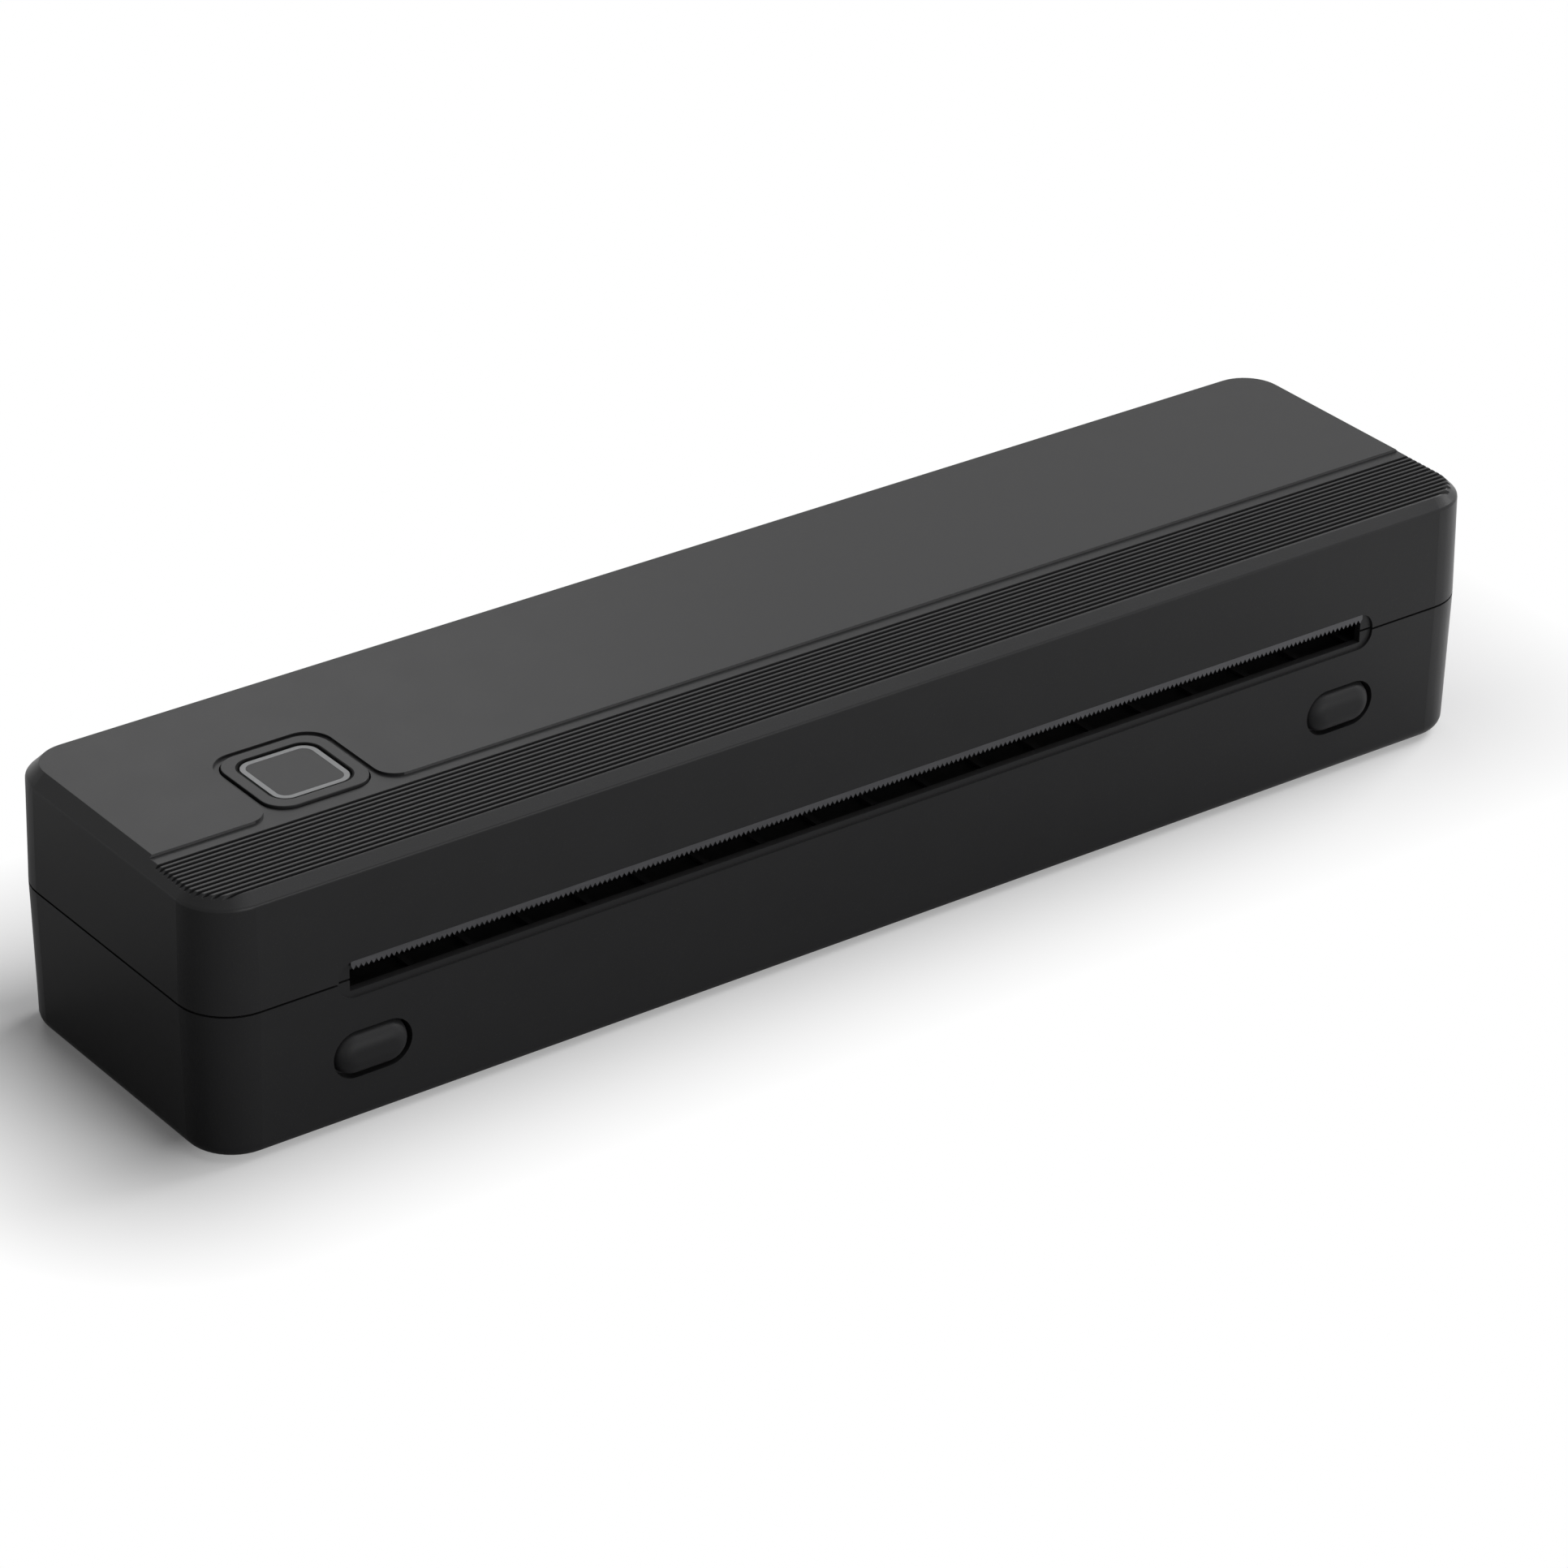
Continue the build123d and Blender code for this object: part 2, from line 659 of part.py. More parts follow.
def key_switch():
    """Tactile switch body with the well that its plunger slides in."""
    body = block(key_x - switch_size / 2, key_x + switch_size / 2,
                 key_y - switch_size / 2, key_y + switch_size / 2, key_board_top_z, switch_top_z)
    well = post(key_x, key_y, switch_top_z - plunger_root - key_travel - running_clearance,
                switch_top_z + overcut, plunger_radius + running_clearance)
    return body - well


def key_lights():
    """Four small lamps on the key board, under the corners of the light ring."""
    reach = (ring_size - ring_width) / 2
    lamps = []
    for x in (key_x - reach, key_x + reach):
        for y in (key_y - reach, key_y + reach):
            lamps.append(block(x - light_length / 2, x + light_length / 2, y - light_width / 2,
                               y + light_width / 2, key_board_top_z, key_board_top_z + light_height))
    return group(lamps)


def power_key():
    """Square key with a flange that holds it under the roof, and a channel for the ring."""
    key = slab(key_size, key_size, key_corner, key_flange_z - key_flange / 2, top_z, key_x, key_y)
    key = fillet(key.faces().sort_by(Axis.Z)[-1].edges(), edge_blend)
    flange = key_size + 2 * key_gap + 2 * key_lip
    key += slab(flange, flange, key_corner, key_flange_z - key_flange, key_flange_z, key_x, key_y)
    channel = ring_size + 2 * ring_gap
    pad = ring_size - 2 * ring_width
    pad_corner = ring_corner - ring_width
    key -= slab(channel, channel, ring_corner + ring_gap, top_z - pad_sink, top_z + overcut, key_x, key_y)
    channel_floor = top_z - ring_sink - ring_height
    trench = slab(channel, channel, ring_corner + ring_gap, channel_floor, top_z + overcut, key_x, key_y)
    key -= trench - slab(pad, pad, pad_corner, channel_floor - overcut, top_z + 2 * overcut, key_x, key_y)
    return key


def light_ring():
    """Frosted ring in the key's channel."""
    top = top_z - ring_sink
    inner = ring_size - 2 * ring_width
    inner_corner = ring_corner - ring_width
    ring = slab(ring_size, ring_size, ring_corner, top - ring_height, top, key_x, key_y)
    gap = 2 * fit_clearance
    return ring - slab(inner + gap, inner + gap, inner_corner, top - ring_height - overcut,
                       top + overcut, key_x, key_y)


def key_plunger():
    """Switch plunger that the key stands on."""
    return post(key_x, key_y, switch_top_z - plunger_root, key_flange_z - key_flange, plunger_radius)


# --- Print head -------------------------------------------------------------------------------
def head_ceramic():
    """Ceramic print board with the raised heater line along it."""
    board = block(-head_length / 2, head_length / 2, head_front_y, head_rear_y, heater_z, ceramic_top_z)
    line = block(-slot_length / 2 + head_lead, slot_length / 2 - head_lead,
                 platen_y - heater_width / 2, platen_y + heater_width / 2,
                 heater_z - heater_height, heater_z + heater_height)
    return board + line


def head_driver_cover():
    """Moulded strip over the driver chips, behind the platen."""
    half = head_length / 2 - driver_inset
    y0 = platen_y + driver_setback
    strip = block(-half, half, y0, y0 + driver_depth, heater_z - driver_height, heater_z)
    lower_edges = strip.edges().filter_by(Axis.X).group_by(Axis.Z)[0]
    return fillet(lower_edges, driver_height / 2)


def heat_sink():
    """Aluminium carrier of the ceramic, with pivot lugs behind and grooves on top."""
    half = head_length / 2 + sink_overhang
    sink = block(-half, half, head_front_y, head_rear_y, ceramic_top_z, sink_top_z)
    room = head_depth / (sink_groove_count + 1)
    for number in range(sink_groove_count):
        y = head_front_y + room * (number + 1) - sink_groove_width / 2
        sink -= block(-half - overcut, half + overcut, y, y + sink_groove_width,
                      sink_top_z - sink_groove_depth, sink_top_z + overcut)
    for side in (-1, 1):
        x0 = side * lug_x - lug_width / 2
        x1 = side * lug_x + lug_width / 2
        sink += rod(x0, x1, pivot_y, pivot_z, lug_radius)
        sink += block(x0, x1, head_rear_y - overcut, pivot_y, pivot_z - lug_radius, pivot_z + lug_radius)
    return sink - rod(-half, half, pivot_y, pivot_z, pivot_radius + running_clearance)


def head_pivot():
    """Rod that the print head rocks on, held by the lid frame."""
    return rod(-frame_outer_x, frame_outer_x, pivot_y, pivot_z, pivot_radius)


def head_springs():
    """Springs that press the head down, between its carrier and the frame."""
    z0 = sink_top_z + head_spring_seat
    z1 = frame_under_z - head_spring_seat
    y = platen_y + head_spring_setback
    coil = spring(z0, z1, head_spring_radius, head_spring_wire)
    middle = (head_spring_count - 1) / 2
    return group([Pos((n - middle) * head_spring_pitch, y, 0) * coil for n in range(head_spring_count)])


# --- Base -------------------------------------------------------------------------------------
def guide_post_places():
    """Posts in the base that carry the lower guide."""
    places = []
    for side in (-1, 1):
        places.append((side * guide_post_front_x, platen_y + guide_post_setback))
        places.append((side * guide_post_rear_x, rear_y - guide_post_rear_inset))
    return places


def board_post_places():
    """Posts in the base that carry the main board."""
    xs = (board_left + board_screw_inset, board_left + board_length - board_screw_inset)
    ys = (board_front_y + board_screw_inset, board_front_y + board_depth - board_screw_inset)
    return [(x, y) for x in xs for y in ys]


def foot_places():
    """The four feet."""
    x = length / 2 - foot_from_end
    return [(s * x, y) for s in (-1, 1) for y in (front_y + foot_from_side, rear_y - foot_from_side)]


def bottom_case():
    """Base tub: drafted, rounded below, with button holes, posts and hinge knuckles."""
    tub = case_block(0, corner_radius, base_rim_z, case_z, base_draft)
    bottom_edges = tub.faces().sort_by(Axis.Z)[0].edges()
    tub = fillet(bottom_edges, base_fillet)
    tub -= case_block(wall, corner_radius - wall, base_rim_z + parting_gap, floor_z, base_draft)
    tub -= slot_pocket()
    tub -= slot_cut(front_y - overcut, inner_front_y + overcut, slot_drop, slot_rise)
    tub -= slot_cut(inner_rear_y - overcut, rear_y + overcut, entry_drop, entry_rise)
    hole = SlotOverall(release_length + 2 * release_gap, release_width + 2 * release_gap)
    for side in (-1, 1):
        tub -= through_front(Pos(side * release_x, release_z) * hole,
                             front_y - overcut, inner_front_y + overcut)
    port = SlotOverall(socket_width + 2 * socket_gap, socket_height + 2 * socket_gap)
    tub -= through_front(Pos(socket_x, socket_z) * port, inner_rear_y - overcut, rear_y + overcut)
    for x, y in foot_places():
        tub -= post(x, y, case_z - overcut, foot_thickness, foot_radius + running_clearance)
    for x, y in guide_post_places():
        tub += post(x, y, floor_z - overcut, guide_under_z, guide_post_radius)
        tub -= post(x, y, guide_under_z - screw_length, guide_under_z + overcut, screw_radius)
    for x, y in board_post_places():
        tub += post(x, y, floor_z - overcut, board_z, board_post_radius)
        tub -= post(x, y, floor_z, board_z + overcut, screw_radius)
    for x, y in plate_screw_places():
        tub -= post(x, y, floor_z - floor_thickness / 2, floor_z + overcut, screw_radius)
    wall_top = release_z + latch_spring_radius / 2
    seat_half = latch_spring_radius + spring_wall
    seat = block(release_x - seat_half, release_x + seat_half,
                 spring_wall_y, spring_wall_y + spring_wall, floor_z - overcut, wall_top)
    rail = block(release_x - release_length / 2, hook_outer_x, slider_front_y, hook_rear_y,
                 floor_z - overcut, release_z - slider_width / 2 - slider_gap)
    pieces = both_ends(seat) + both_ends(rail)
    for number in (0, 2):
        first = hinge_start + number * (knuckle_length + knuckle_gap)
        pieces += both_ends(knuckle(first, hinge_pin_radius, split_z - knuckle_radius, base_rim_z,
                                    rear_y - wall / 2))
    for piece in pieces:
        tub += piece
    return tub


def hinge_pins():
    """Pins through the knuckles."""
    last = hinge_start + 3 * knuckle_length + 2 * knuckle_gap
    return group(both_ends(rod(hinge_start, last, hinge_y, split_z, hinge_pin_radius)))


def rubber_feet():
    """Round pads let into the underside."""
    feet = []
    for x, y in foot_places():
        pad = post(x, y, 0, foot_thickness, foot_radius)
        feet.append(fillet(pad.edges().group_by(Axis.Z)[0], foot_round))
    return group(feet)


def lower_guide():
    """Ribbed plate that covers the works and carries the paper, with windows for what passes it."""
    inset = wall + slider_gap
    plan = RectangleRounded(length - 2 * inset, depth - 2 * inset, corner_radius - inset)
    guide = extrude(Pos(0, middle_y, guide_under_z) * plan, guide_thickness)
    guide_front = front_y + inset
    guide_rear = rear_y - inset
    window_half = platen_radius + platen_window_gap
    for x in guide_rib_places():
        x0 = x - guide_rib_width / 2
        x1 = x + guide_rib_width / 2
        rib_z = guide_top_z + guide_rib_height
        guide += block(x0, x1, guide_front, platen_y - window_half, guide_top_z, rib_z)
        guide += block(x0, x1, platen_y + window_half, guide_rear, guide_top_z, rib_z)
    window_x = plate_outer_x + bush_flange + platen_window_gap
    z0 = guide_under_z - overcut
    z1 = split_z
    guide -= block(-window_x, window_x, platen_y - window_half, platen_y + window_half, z0, z1)
    tip_radius = gear_module * platen_teeth / 2 + gear_module + platen_window_gap
    guide -= block(plate_outer_x, gear_x + gear_face + platen_window_gap,
                   platen_y - tip_radius, platen_y + tip_radius, z0, z1)
    hook_room = platen_window_gap
    hook_window = block(hook_inner_x - hook_room, hook_outer_x + hook_room,
                        nose_y - hook_room, hook_rear_y + release_travel + hook_room, z0, z1)
    for window in both_ends(hook_window):
        guide -= window
    gap = 2 * fit_clearance
    sensor_y = platen_y + sensor_setback
    guide -= block(sensor_x - (sensor_length + gap) / 2, sensor_x + (sensor_length + gap) / 2,
                   sensor_y - (sensor_width + gap) / 2, sensor_y + (sensor_width + gap) / 2, z0, z1)
    for x, y in guide_post_places():
        guide -= post(x, y, z0, z1, screw_hole_radius)
        guide -= post(x, y, guide_top_z - guide_counterbore, z1, screw_head_radius + running_clearance)
    return guide


def guide_screws():
    """Screws through the lower guide into its posts."""
    seat = guide_top_z - guide_counterbore
    return group([screw(x, y, seat, screw_length) for x, y in guide_post_places()])


def paper_sensor():
    """Optical sensor set in the lower guide's window."""
    y = platen_y + sensor_setback
    top = guide_top_z - sensor_sink
    body = block(sensor_x - sensor_length / 2, sensor_x + sensor_length / 2,
                 y - sensor_width / 2, y + sensor_width / 2, guide_under_z - sensor_drop, top)
    eye = sensor_width / 4
    for side in (-1, 1):
        body -= post(sensor_x + side * sensor_length / 4, y, top - sensor_sink, top + overcut, eye)
    return body


def plate_screw_places():
    """Screws through the side plates' flanges into the floor."""
    x = plate_outer_x + plate_flange / 2
    inset = screw_head_radius + plate_thickness
    ys = (platen_y - plate_front + inset, platen_y + plate_rear - inset)
    return [(side * x, y) for side in (-1, 1) for y in ys]


def side_plate():
    """Steel plate at the right end of the platen, with its foot flange turned outwards."""
    y0 = platen_y - plate_front
    y1 = platen_y + plate_rear
    top = guide_under_z - slider_gap
    plate = block(plate_x, plate_outer_x, y0, y1, floor_z, top)
    plate += rod(plate_x, plate_outer_x, platen_y, platen_z, plate_lobe)
    plate += block(plate_x, plate_outer_x + plate_flange, y0, y1, floor_z, floor_z + plate_thickness)
    bush_hole = bush_radius + fit_clearance
    plate -= rod(plate_x - overcut, plate_outer_x + overcut, platen_y, platen_z, bush_hole)
    for x, y in plate_screw_places():
        plate -= post(x, y, floor_z - overcut, floor_z + plate_thickness + overcut,
                      screw_hole_radius)
    return plate


def right_side_plate():
    """Side plate that also holds the idler's post and the motor."""
    plate = side_plate()
    x0 = plate_x - overcut
    x1 = plate_outer_x + overcut
    plate -= rod(x0, x1, idler_y, idler_z, idler_post_radius)
    plate -= rod(x0, x1, motor_y, motor_z, motor_boss_radius + fit_clearance)
    for y, z in motor_screw_places():
        plate -= rod(x0, x1, y, z, screw_radius)
    return plate


def left_side_plate():
    """Plain side plate at the other end."""
    return mirror(side_plate(), Plane.YZ)


def plate_screws():
    """Screws that hold the side plates down."""
    seat = floor_z + plate_thickness
    reach = plate_thickness + floor_thickness / 2
    return group([screw(x, y, seat, reach) for x, y in plate_screw_places()])


def platen_bushes():
    """Flanged bushes that the platen turns in."""
    bush = rod(plate_x, plate_outer_x, platen_y, platen_z, bush_radius)
    bush += rod(plate_outer_x, plate_outer_x + bush_flange, platen_y, platen_z, bush_flange_radius)
    bush -= rod(plate_x - overcut, plate_outer_x + bush_flange + overcut, platen_y, platen_z,
                journal_radius + running_clearance)
    return group(both_ends(bush))


def motor_screw_places():
    """The motor's two ears, across a diagonal."""
    across = motor_ear_reach * cos(radians(motor_ear_angle))
    up = motor_ear_reach * sin(radians(motor_ear_angle))
    return [(motor_y + across, motor_z + up), (motor_y - across, motor_z - up)]


def stepper_motor():
    """Stepper motor inside the right side plate, its boss in the plate."""
    x0 = plate_x - motor_length
    can = rod(x0, plate_x - motor_face, motor_y, motor_z, motor_radius)
    can = fillet(can.edges().group_by(Axis.X)[0], motor_face / 2)
    ears = can + rod(plate_x - motor_face, plate_x, motor_y, motor_z, motor_radius)
    middle = Pos(plate_x - motor_face / 2, motor_y, motor_z) * Rot(motor_ear_angle, 0, 0)
    ears += middle * Box(motor_face, 2 * motor_ear_reach, motor_ear_width)
    for y, z in motor_screw_places():
        ears += rod(plate_x - motor_face, plate_x, y, z, motor_ear_width / 2)
        ears -= rod(plate_x - motor_face - overcut, plate_x + overcut, y, z, screw_radius)
    ears += rod(plate_x, plate_outer_x, motor_y, motor_z, motor_boss_radius)
    return ears - rod(x0 + motor_face, plate_outer_x + overcut, motor_y, motor_z,
                      motor_shaft_radius + running_clearance)


def motor_screws():
    """Screws through the side plate into the motor's ears."""
    screws = []
    for y, z in motor_screw_places():
        upright = screw(0, 0, 0, plate_thickness + motor_face)
        screws.append(Pos(plate_outer_x, y, z) * Rot(0, 90, 0) * upright)
    return group(screws)


def idler_post():
    """Post riveted in the side plate."""
    return rod(plate_x, post_end_x, idler_y, idler_z, idler_post_radius)


def idler_clip():
    """Ring that keeps the idler on its post."""
    x0 = large_gear_x + large_gear_face + clip_float
    ring = rod(x0, x0 + clip_thickness, idler_y, idler_z, clip_radius)
    return ring - rod(x0 - overcut, x0 + clip_thickness + overcut, idler_y, idler_z, idler_post_radius)


def cell_starts():
    """Left end of each cell."""
    return [(n - cell_count / 2) * (cell_length + cell_gap) + cell_gap / 2 for n in range(cell_count)]


def battery_cells():
    """Cells end to end along the printer."""
    cells = []
    for x0 in cell_starts():
        cell = rod(x0, x0 + cell_length - cell_cap, cell_y, cell_z, cell_radius)
        cell = fillet(cell.edges(), cell_cap)
        cells.append(cell + rod(x0, x0 + cell_length, cell_y, cell_z, cell_cap_radius))
    return group(cells)


def battery_tray():
    """Tray that the cells lie in, with a wall between them."""
    y0 = cell_y - cell_radius - tray_wall
    y1 = cell_y + cell_radius + tray_wall
    tray = block(-tray_end_x, tray_end_x, y0, y1, floor_z, floor_z + tray_wall + tray_side)
    room = cell_radius + fit_clearance
    for start in cell_starts():
        x0 = start - fit_clearance
        x1 = start + cell_length + fit_clearance
        tray -= rod(x0, x1, cell_y, cell_z, room)
        tray -= block(x0, x1, cell_y - room, cell_y + room, cell_z, cell_z + cell_radius)
    return tray


def main_board():
    """Circuit board behind the cells."""
    right = board_left + board_length
    board = block(board_left, right, board_front_y, board_front_y + board_depth, board_z, board_top_z)
    for x, y in board_post_places():
        board -= post(x, y, board_z - overcut, board_top_z + overcut, screw_hole_radius)
    return board


def board_screws():
    """Screws through the main board into its posts."""
    reach = board_thickness + board_standoff
    return group([screw(x, y, board_top_z, reach) for x, y in board_post_places()])


def on_board(sizes):
    """Part standing on the main board, from its place on the board and its own size."""
    along, across, width, run, height = sizes
    x = board_left + along - width / 2
    y = board_front_y + across - run / 2
    return block(x, x + width, y, y + run, board_top_z, board_top_z + height)


def board_chips():
    """Radio module, processor, memory, motor driver and charger."""
    chips = (radio_module, processor, memory_chip, motor_driver, charger_chip)
    return group([on_board(chip) for chip in chips])


def board_coils():
    """Charging coil and the capacitors beside it."""
    y = board_front_y + board_depth / 2
    top = board_top_z + capacitor_height
    xs = [board_left + along for along in capacitor_offsets]
    cans = [post(x, y, board_top_z, top, capacitor_radius) for x in xs]
    return group([on_board(charger_coil)] + cans)


def board_connectors():
    """Headers for the cells, the motor and the print head's ribbon."""
    return group([on_board(header) for header in (battery_header, motor_header, ribbon_header)])


def usb_socket():
    """Charging socket on the board's rear edge, its mouth in the rear wall."""
    mouth_y = rear_y - wall / 2
    place = Pos(socket_x, socket_z)
    outer = place * SlotOverall(socket_width, socket_height)
    inner = place * SlotOverall(socket_width - 2 * socket_shell, socket_height - 2 * socket_shell)
    shell = through_front(outer, mouth_y - socket_length, mouth_y)
    shell -= through_front(inner, mouth_y - socket_length + 2 * socket_shell, mouth_y + overcut)
    tongue = block(socket_x - socket_tongue / 2, socket_x + socket_tongue / 2,
                   mouth_y - socket_length + socket_shell, mouth_y - 2 * socket_shell,
                   socket_z - socket_shell, socket_z + socket_shell)
    return shell + tongue


# --- Platen and gears -------------------------------------------------------------------------
def platen_shaft():
    """Steel shaft with thinner journals; the right one carries the gear."""
    half = platen_length / 2
    core = rod(-half, half, platen_y, platen_z, platen_core_radius)
    left_end = -(plate_outer_x + bush_flange)
    return core + rod(left_end, gear_x + gear_face, platen_y, platen_z, journal_radius)


def platen_rubber():
    """Rubber sleeve that drives the paper."""
    half = platen_length / 2
    sleeve = rod(-half, half, platen_y, platen_z, platen_radius)
    return sleeve - rod(-half - overcut, half + overcut, platen_y, platen_z, platen_core_radius)


def platen_gear():
    """Gear on the platen's right end; one tooth points at the idler."""
    return gear(platen_teeth, idler_angle, gear_x, gear_x + gear_face, platen_y, platen_z, journal_radius)


def idler_gear():
    """Two-step gear between the motor and the platen."""
    bore = idler_post_radius + running_clearance
    middle = (gear_x + gear_face + large_gear_x) / 2
    small_turn = idler_angle + 180 + 180 / idler_small_teeth
    small = gear(idler_small_teeth, small_turn, gear_x, middle, idler_y, idler_z, bore)
    large = gear(idler_large_teeth, motor_angle, large_gear_x, large_gear_x + large_gear_face,
                 idler_y, idler_z, bore)
    root = gear_module * (idler_small_teeth / 2 - dedendum)
    hub = rod(middle, large_gear_x, idler_y, idler_z, root)
    hub -= rod(middle - overcut, large_gear_x + overcut, idler_y, idler_z, bore)
    return small + hub + large


def motor_shaft():
    """Motor shaft from inside the can to the end of the pinion."""
    return rod(plate_x - motor_length + 2 * motor_face, large_gear_x + large_gear_face,
               motor_y, motor_z, motor_shaft_radius)


def motor_pinion():
    """Pinion in mesh with the idler's large gear."""
    turn = motor_angle + 180 + 180 / pinion_teeth
    return gear(pinion_teeth, turn, large_gear_x, large_gear_x + large_gear_face,
                motor_y, motor_z, motor_shaft_radius)


# --- Lid releases -----------------------------------------------------------------------------
def release_button():
    """Right release button: a domed oblong that stands out of the front face."""
    cap = through_front(Pos(release_x, release_z) * SlotOverall(release_length, release_width),
                        release_front_y, slider_front_y)
    return fillet(cap.faces().sort_by(Axis.Y)[0].edges(), release_dome)


def latch_slider():
    """Right latch: plate behind the button, with the hook that rises into the lid."""
    z0 = release_z - slider_width / 2
    z1 = release_z + slider_width / 2
    plate = block(release_x - release_length / 2 + slider_gap, hook_outer_x,
                  slider_front_y, slider_rear_y, z0, z1)
    root = block(hook_inner_x, hook_outer_x, slider_front_y, hook_rear_y, z0, z1)
    top = split_z + hook_rise
    arm = block(hook_inner_x, hook_outer_x, hook_front_y, hook_rear_y, z0, top)
    nose = along_x([(nose_y, top - nose_height), (hook_front_y, top - nose_height),
                    (hook_front_y, top), (nose_y, top - nose_height / 2)], hook_inner_x, hook_outer_x)
    return plate + root + arm + nose


def latch_spring():
    """Right return spring, from the slider to its wall in the base."""
    coil = spring(0, latch_spring_length, latch_spring_radius, latch_spring_wire)
    return Pos(release_x, spring_wall_y, release_z) * Rot(90, 0, 0) * coil


# --- Nodes ------------------------------------------------------------------------------------
def nodes():
    """Every sub-part by its node name."""
    right_button = release_button()
    right_slider = latch_slider()
    right_spring = latch_spring()
    return {
        "top_cover": top_cover(),
        "tear_bar": tear_bar(),
        "lid_frame": lid_frame(),
        "frame_screws": frame_screws(),
        "head_pivot": head_pivot(),
        "head_springs": head_springs(),
        "key_board": key_board(),
        "key_board_screws": key_board_screws(),
        "key_switch": key_switch(),
        "key_lights": key_lights(),
        "power_key": power_key(),
        "light_ring": light_ring(),
        "key_plunger": key_plunger(),
        "head_ceramic": head_ceramic(),
        "head_driver_cover": head_driver_cover(),
        "heat_sink": heat_sink(),
        "bottom_case": bottom_case(),
        "rubber_feet": rubber_feet(),
        "hinge_pins": hinge_pins(),
        "lower_guide": lower_guide(),
        "guide_screws": guide_screws(),
        "paper_sensor": paper_sensor(),
        "left_side_plate": left_side_plate(),
        "right_side_plate": right_side_plate(),
        "plate_screws": plate_screws(),
        "platen_bushes": platen_bushes(),
        "stepper_motor": stepper_motor(),
        "motor_screws": motor_screws(),
        "idler_post": idler_post(),
        "idler_clip": idler_clip(),
        "battery_cells": battery_cells(),
        "battery_tray": battery_tray(),
        "main_board": main_board(),
        "board_screws": board_screws(),
        "board_chips": board_chips(),
        "board_coils": board_coils(),
        "board_connectors": board_connectors(),
        "usb_socket": usb_socket(),
        "platen_shaft": platen_shaft(),
        "platen_rubber": platen_rubber(),
        "platen_gear": platen_gear(),
        "idler_gear": idler_gear(),
        "motor_shaft": motor_shaft(),
        "motor_pinion": motor_pinion(),
        "right_release_button": right_button,
        "right_latch_slider": right_slider,
        "right_latch_spring": right_spring,
        "left_release_button": mirror(right_button, Plane.YZ),
        "left_latch_slider": mirror(right_slider, Plane.YZ),
        "left_latch_spring": mirror(right_spring, Plane.YZ),
    }


os.makedirs("parts", exist_ok=True)
for name, shape in nodes().items():
    export_step(shape, f"parts/{name}.step")
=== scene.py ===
"""Portable thermal printer: finishes, small parts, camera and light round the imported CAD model."""

from __future__ import annotations

import json
import logging
import math
from dataclasses import dataclass
from enum import Enum
from typing import Union

import bpy
from mathutils import Matrix, Vector


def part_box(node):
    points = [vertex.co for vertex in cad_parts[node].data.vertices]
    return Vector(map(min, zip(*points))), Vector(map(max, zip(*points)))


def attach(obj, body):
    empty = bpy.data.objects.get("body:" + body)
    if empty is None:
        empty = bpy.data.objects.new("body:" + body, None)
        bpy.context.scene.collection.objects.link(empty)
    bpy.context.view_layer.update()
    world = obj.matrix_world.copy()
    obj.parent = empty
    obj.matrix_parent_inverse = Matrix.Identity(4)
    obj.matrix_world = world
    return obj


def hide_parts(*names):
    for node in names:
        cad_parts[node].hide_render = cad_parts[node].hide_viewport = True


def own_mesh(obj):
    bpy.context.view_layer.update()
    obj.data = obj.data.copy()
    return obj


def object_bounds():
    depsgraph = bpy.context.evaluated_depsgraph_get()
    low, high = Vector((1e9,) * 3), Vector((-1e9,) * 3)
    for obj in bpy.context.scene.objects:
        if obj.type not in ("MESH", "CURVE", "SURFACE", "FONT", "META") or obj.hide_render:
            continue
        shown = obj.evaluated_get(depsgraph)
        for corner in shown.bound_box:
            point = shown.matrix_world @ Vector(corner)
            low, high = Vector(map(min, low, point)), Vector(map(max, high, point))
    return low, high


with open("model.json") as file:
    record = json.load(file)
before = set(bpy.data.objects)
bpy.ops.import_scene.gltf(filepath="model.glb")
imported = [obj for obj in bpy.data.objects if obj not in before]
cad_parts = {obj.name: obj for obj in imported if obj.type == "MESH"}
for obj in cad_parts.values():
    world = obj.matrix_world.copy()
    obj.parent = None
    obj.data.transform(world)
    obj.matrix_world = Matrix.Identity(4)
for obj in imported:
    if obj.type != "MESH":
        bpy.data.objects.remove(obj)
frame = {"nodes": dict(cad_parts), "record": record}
CAD_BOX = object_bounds()

LOG = logging.getLogger("thermal_printer")
MM = 0.001

Colour = tuple[float, float, float]
Point = tuple[float, float, float]
Source = Union["Signal", float, tuple]
Dress = tuple[tuple[str, str], ...]
WHITE: Colour = (1.0, 1.0, 1.0)
CASE_BLACK: Colour = (0.030, 0.030, 0.031)

LINE_SQUEEZE = 0.02  # pattern along drawn lines, against its size across them
NOISE_LOW = 0.3      # a noise seldom lies below this
NOISE_HIGH = 0.7     # or above this

MIX_SHARE = 0        # sockets of a Mix node that mixes colours
MIX_FIRST = 6
MIX_SECOND = 7
MIX_RESULT = 2


class Direction(Enum):
    """Way that drawn or ground lines run, as the pattern's factors along X, Y and Z."""

    NONE = (1.0, 1.0, 1.0)
    ALONG_X = (LINE_SQUEEZE, 1.0, 1.0)
    ALONG_Y = (1.0, LINE_SQUEEZE, 1.0)
    ALONG_Z = (1.0, 1.0, LINE_SQUEEZE)


class Detail(Enum):
    """How many finer layers a noise adds."""

    NONE = 0.0
    SOFT = 2.0
    FINE = 3.0
    RICH = 4.0


class End(Enum):
    """End of the printer."""

    LEFT = "left"
    RIGHT = "right"


# --- Shader building ------------------------------------------------------------------------------


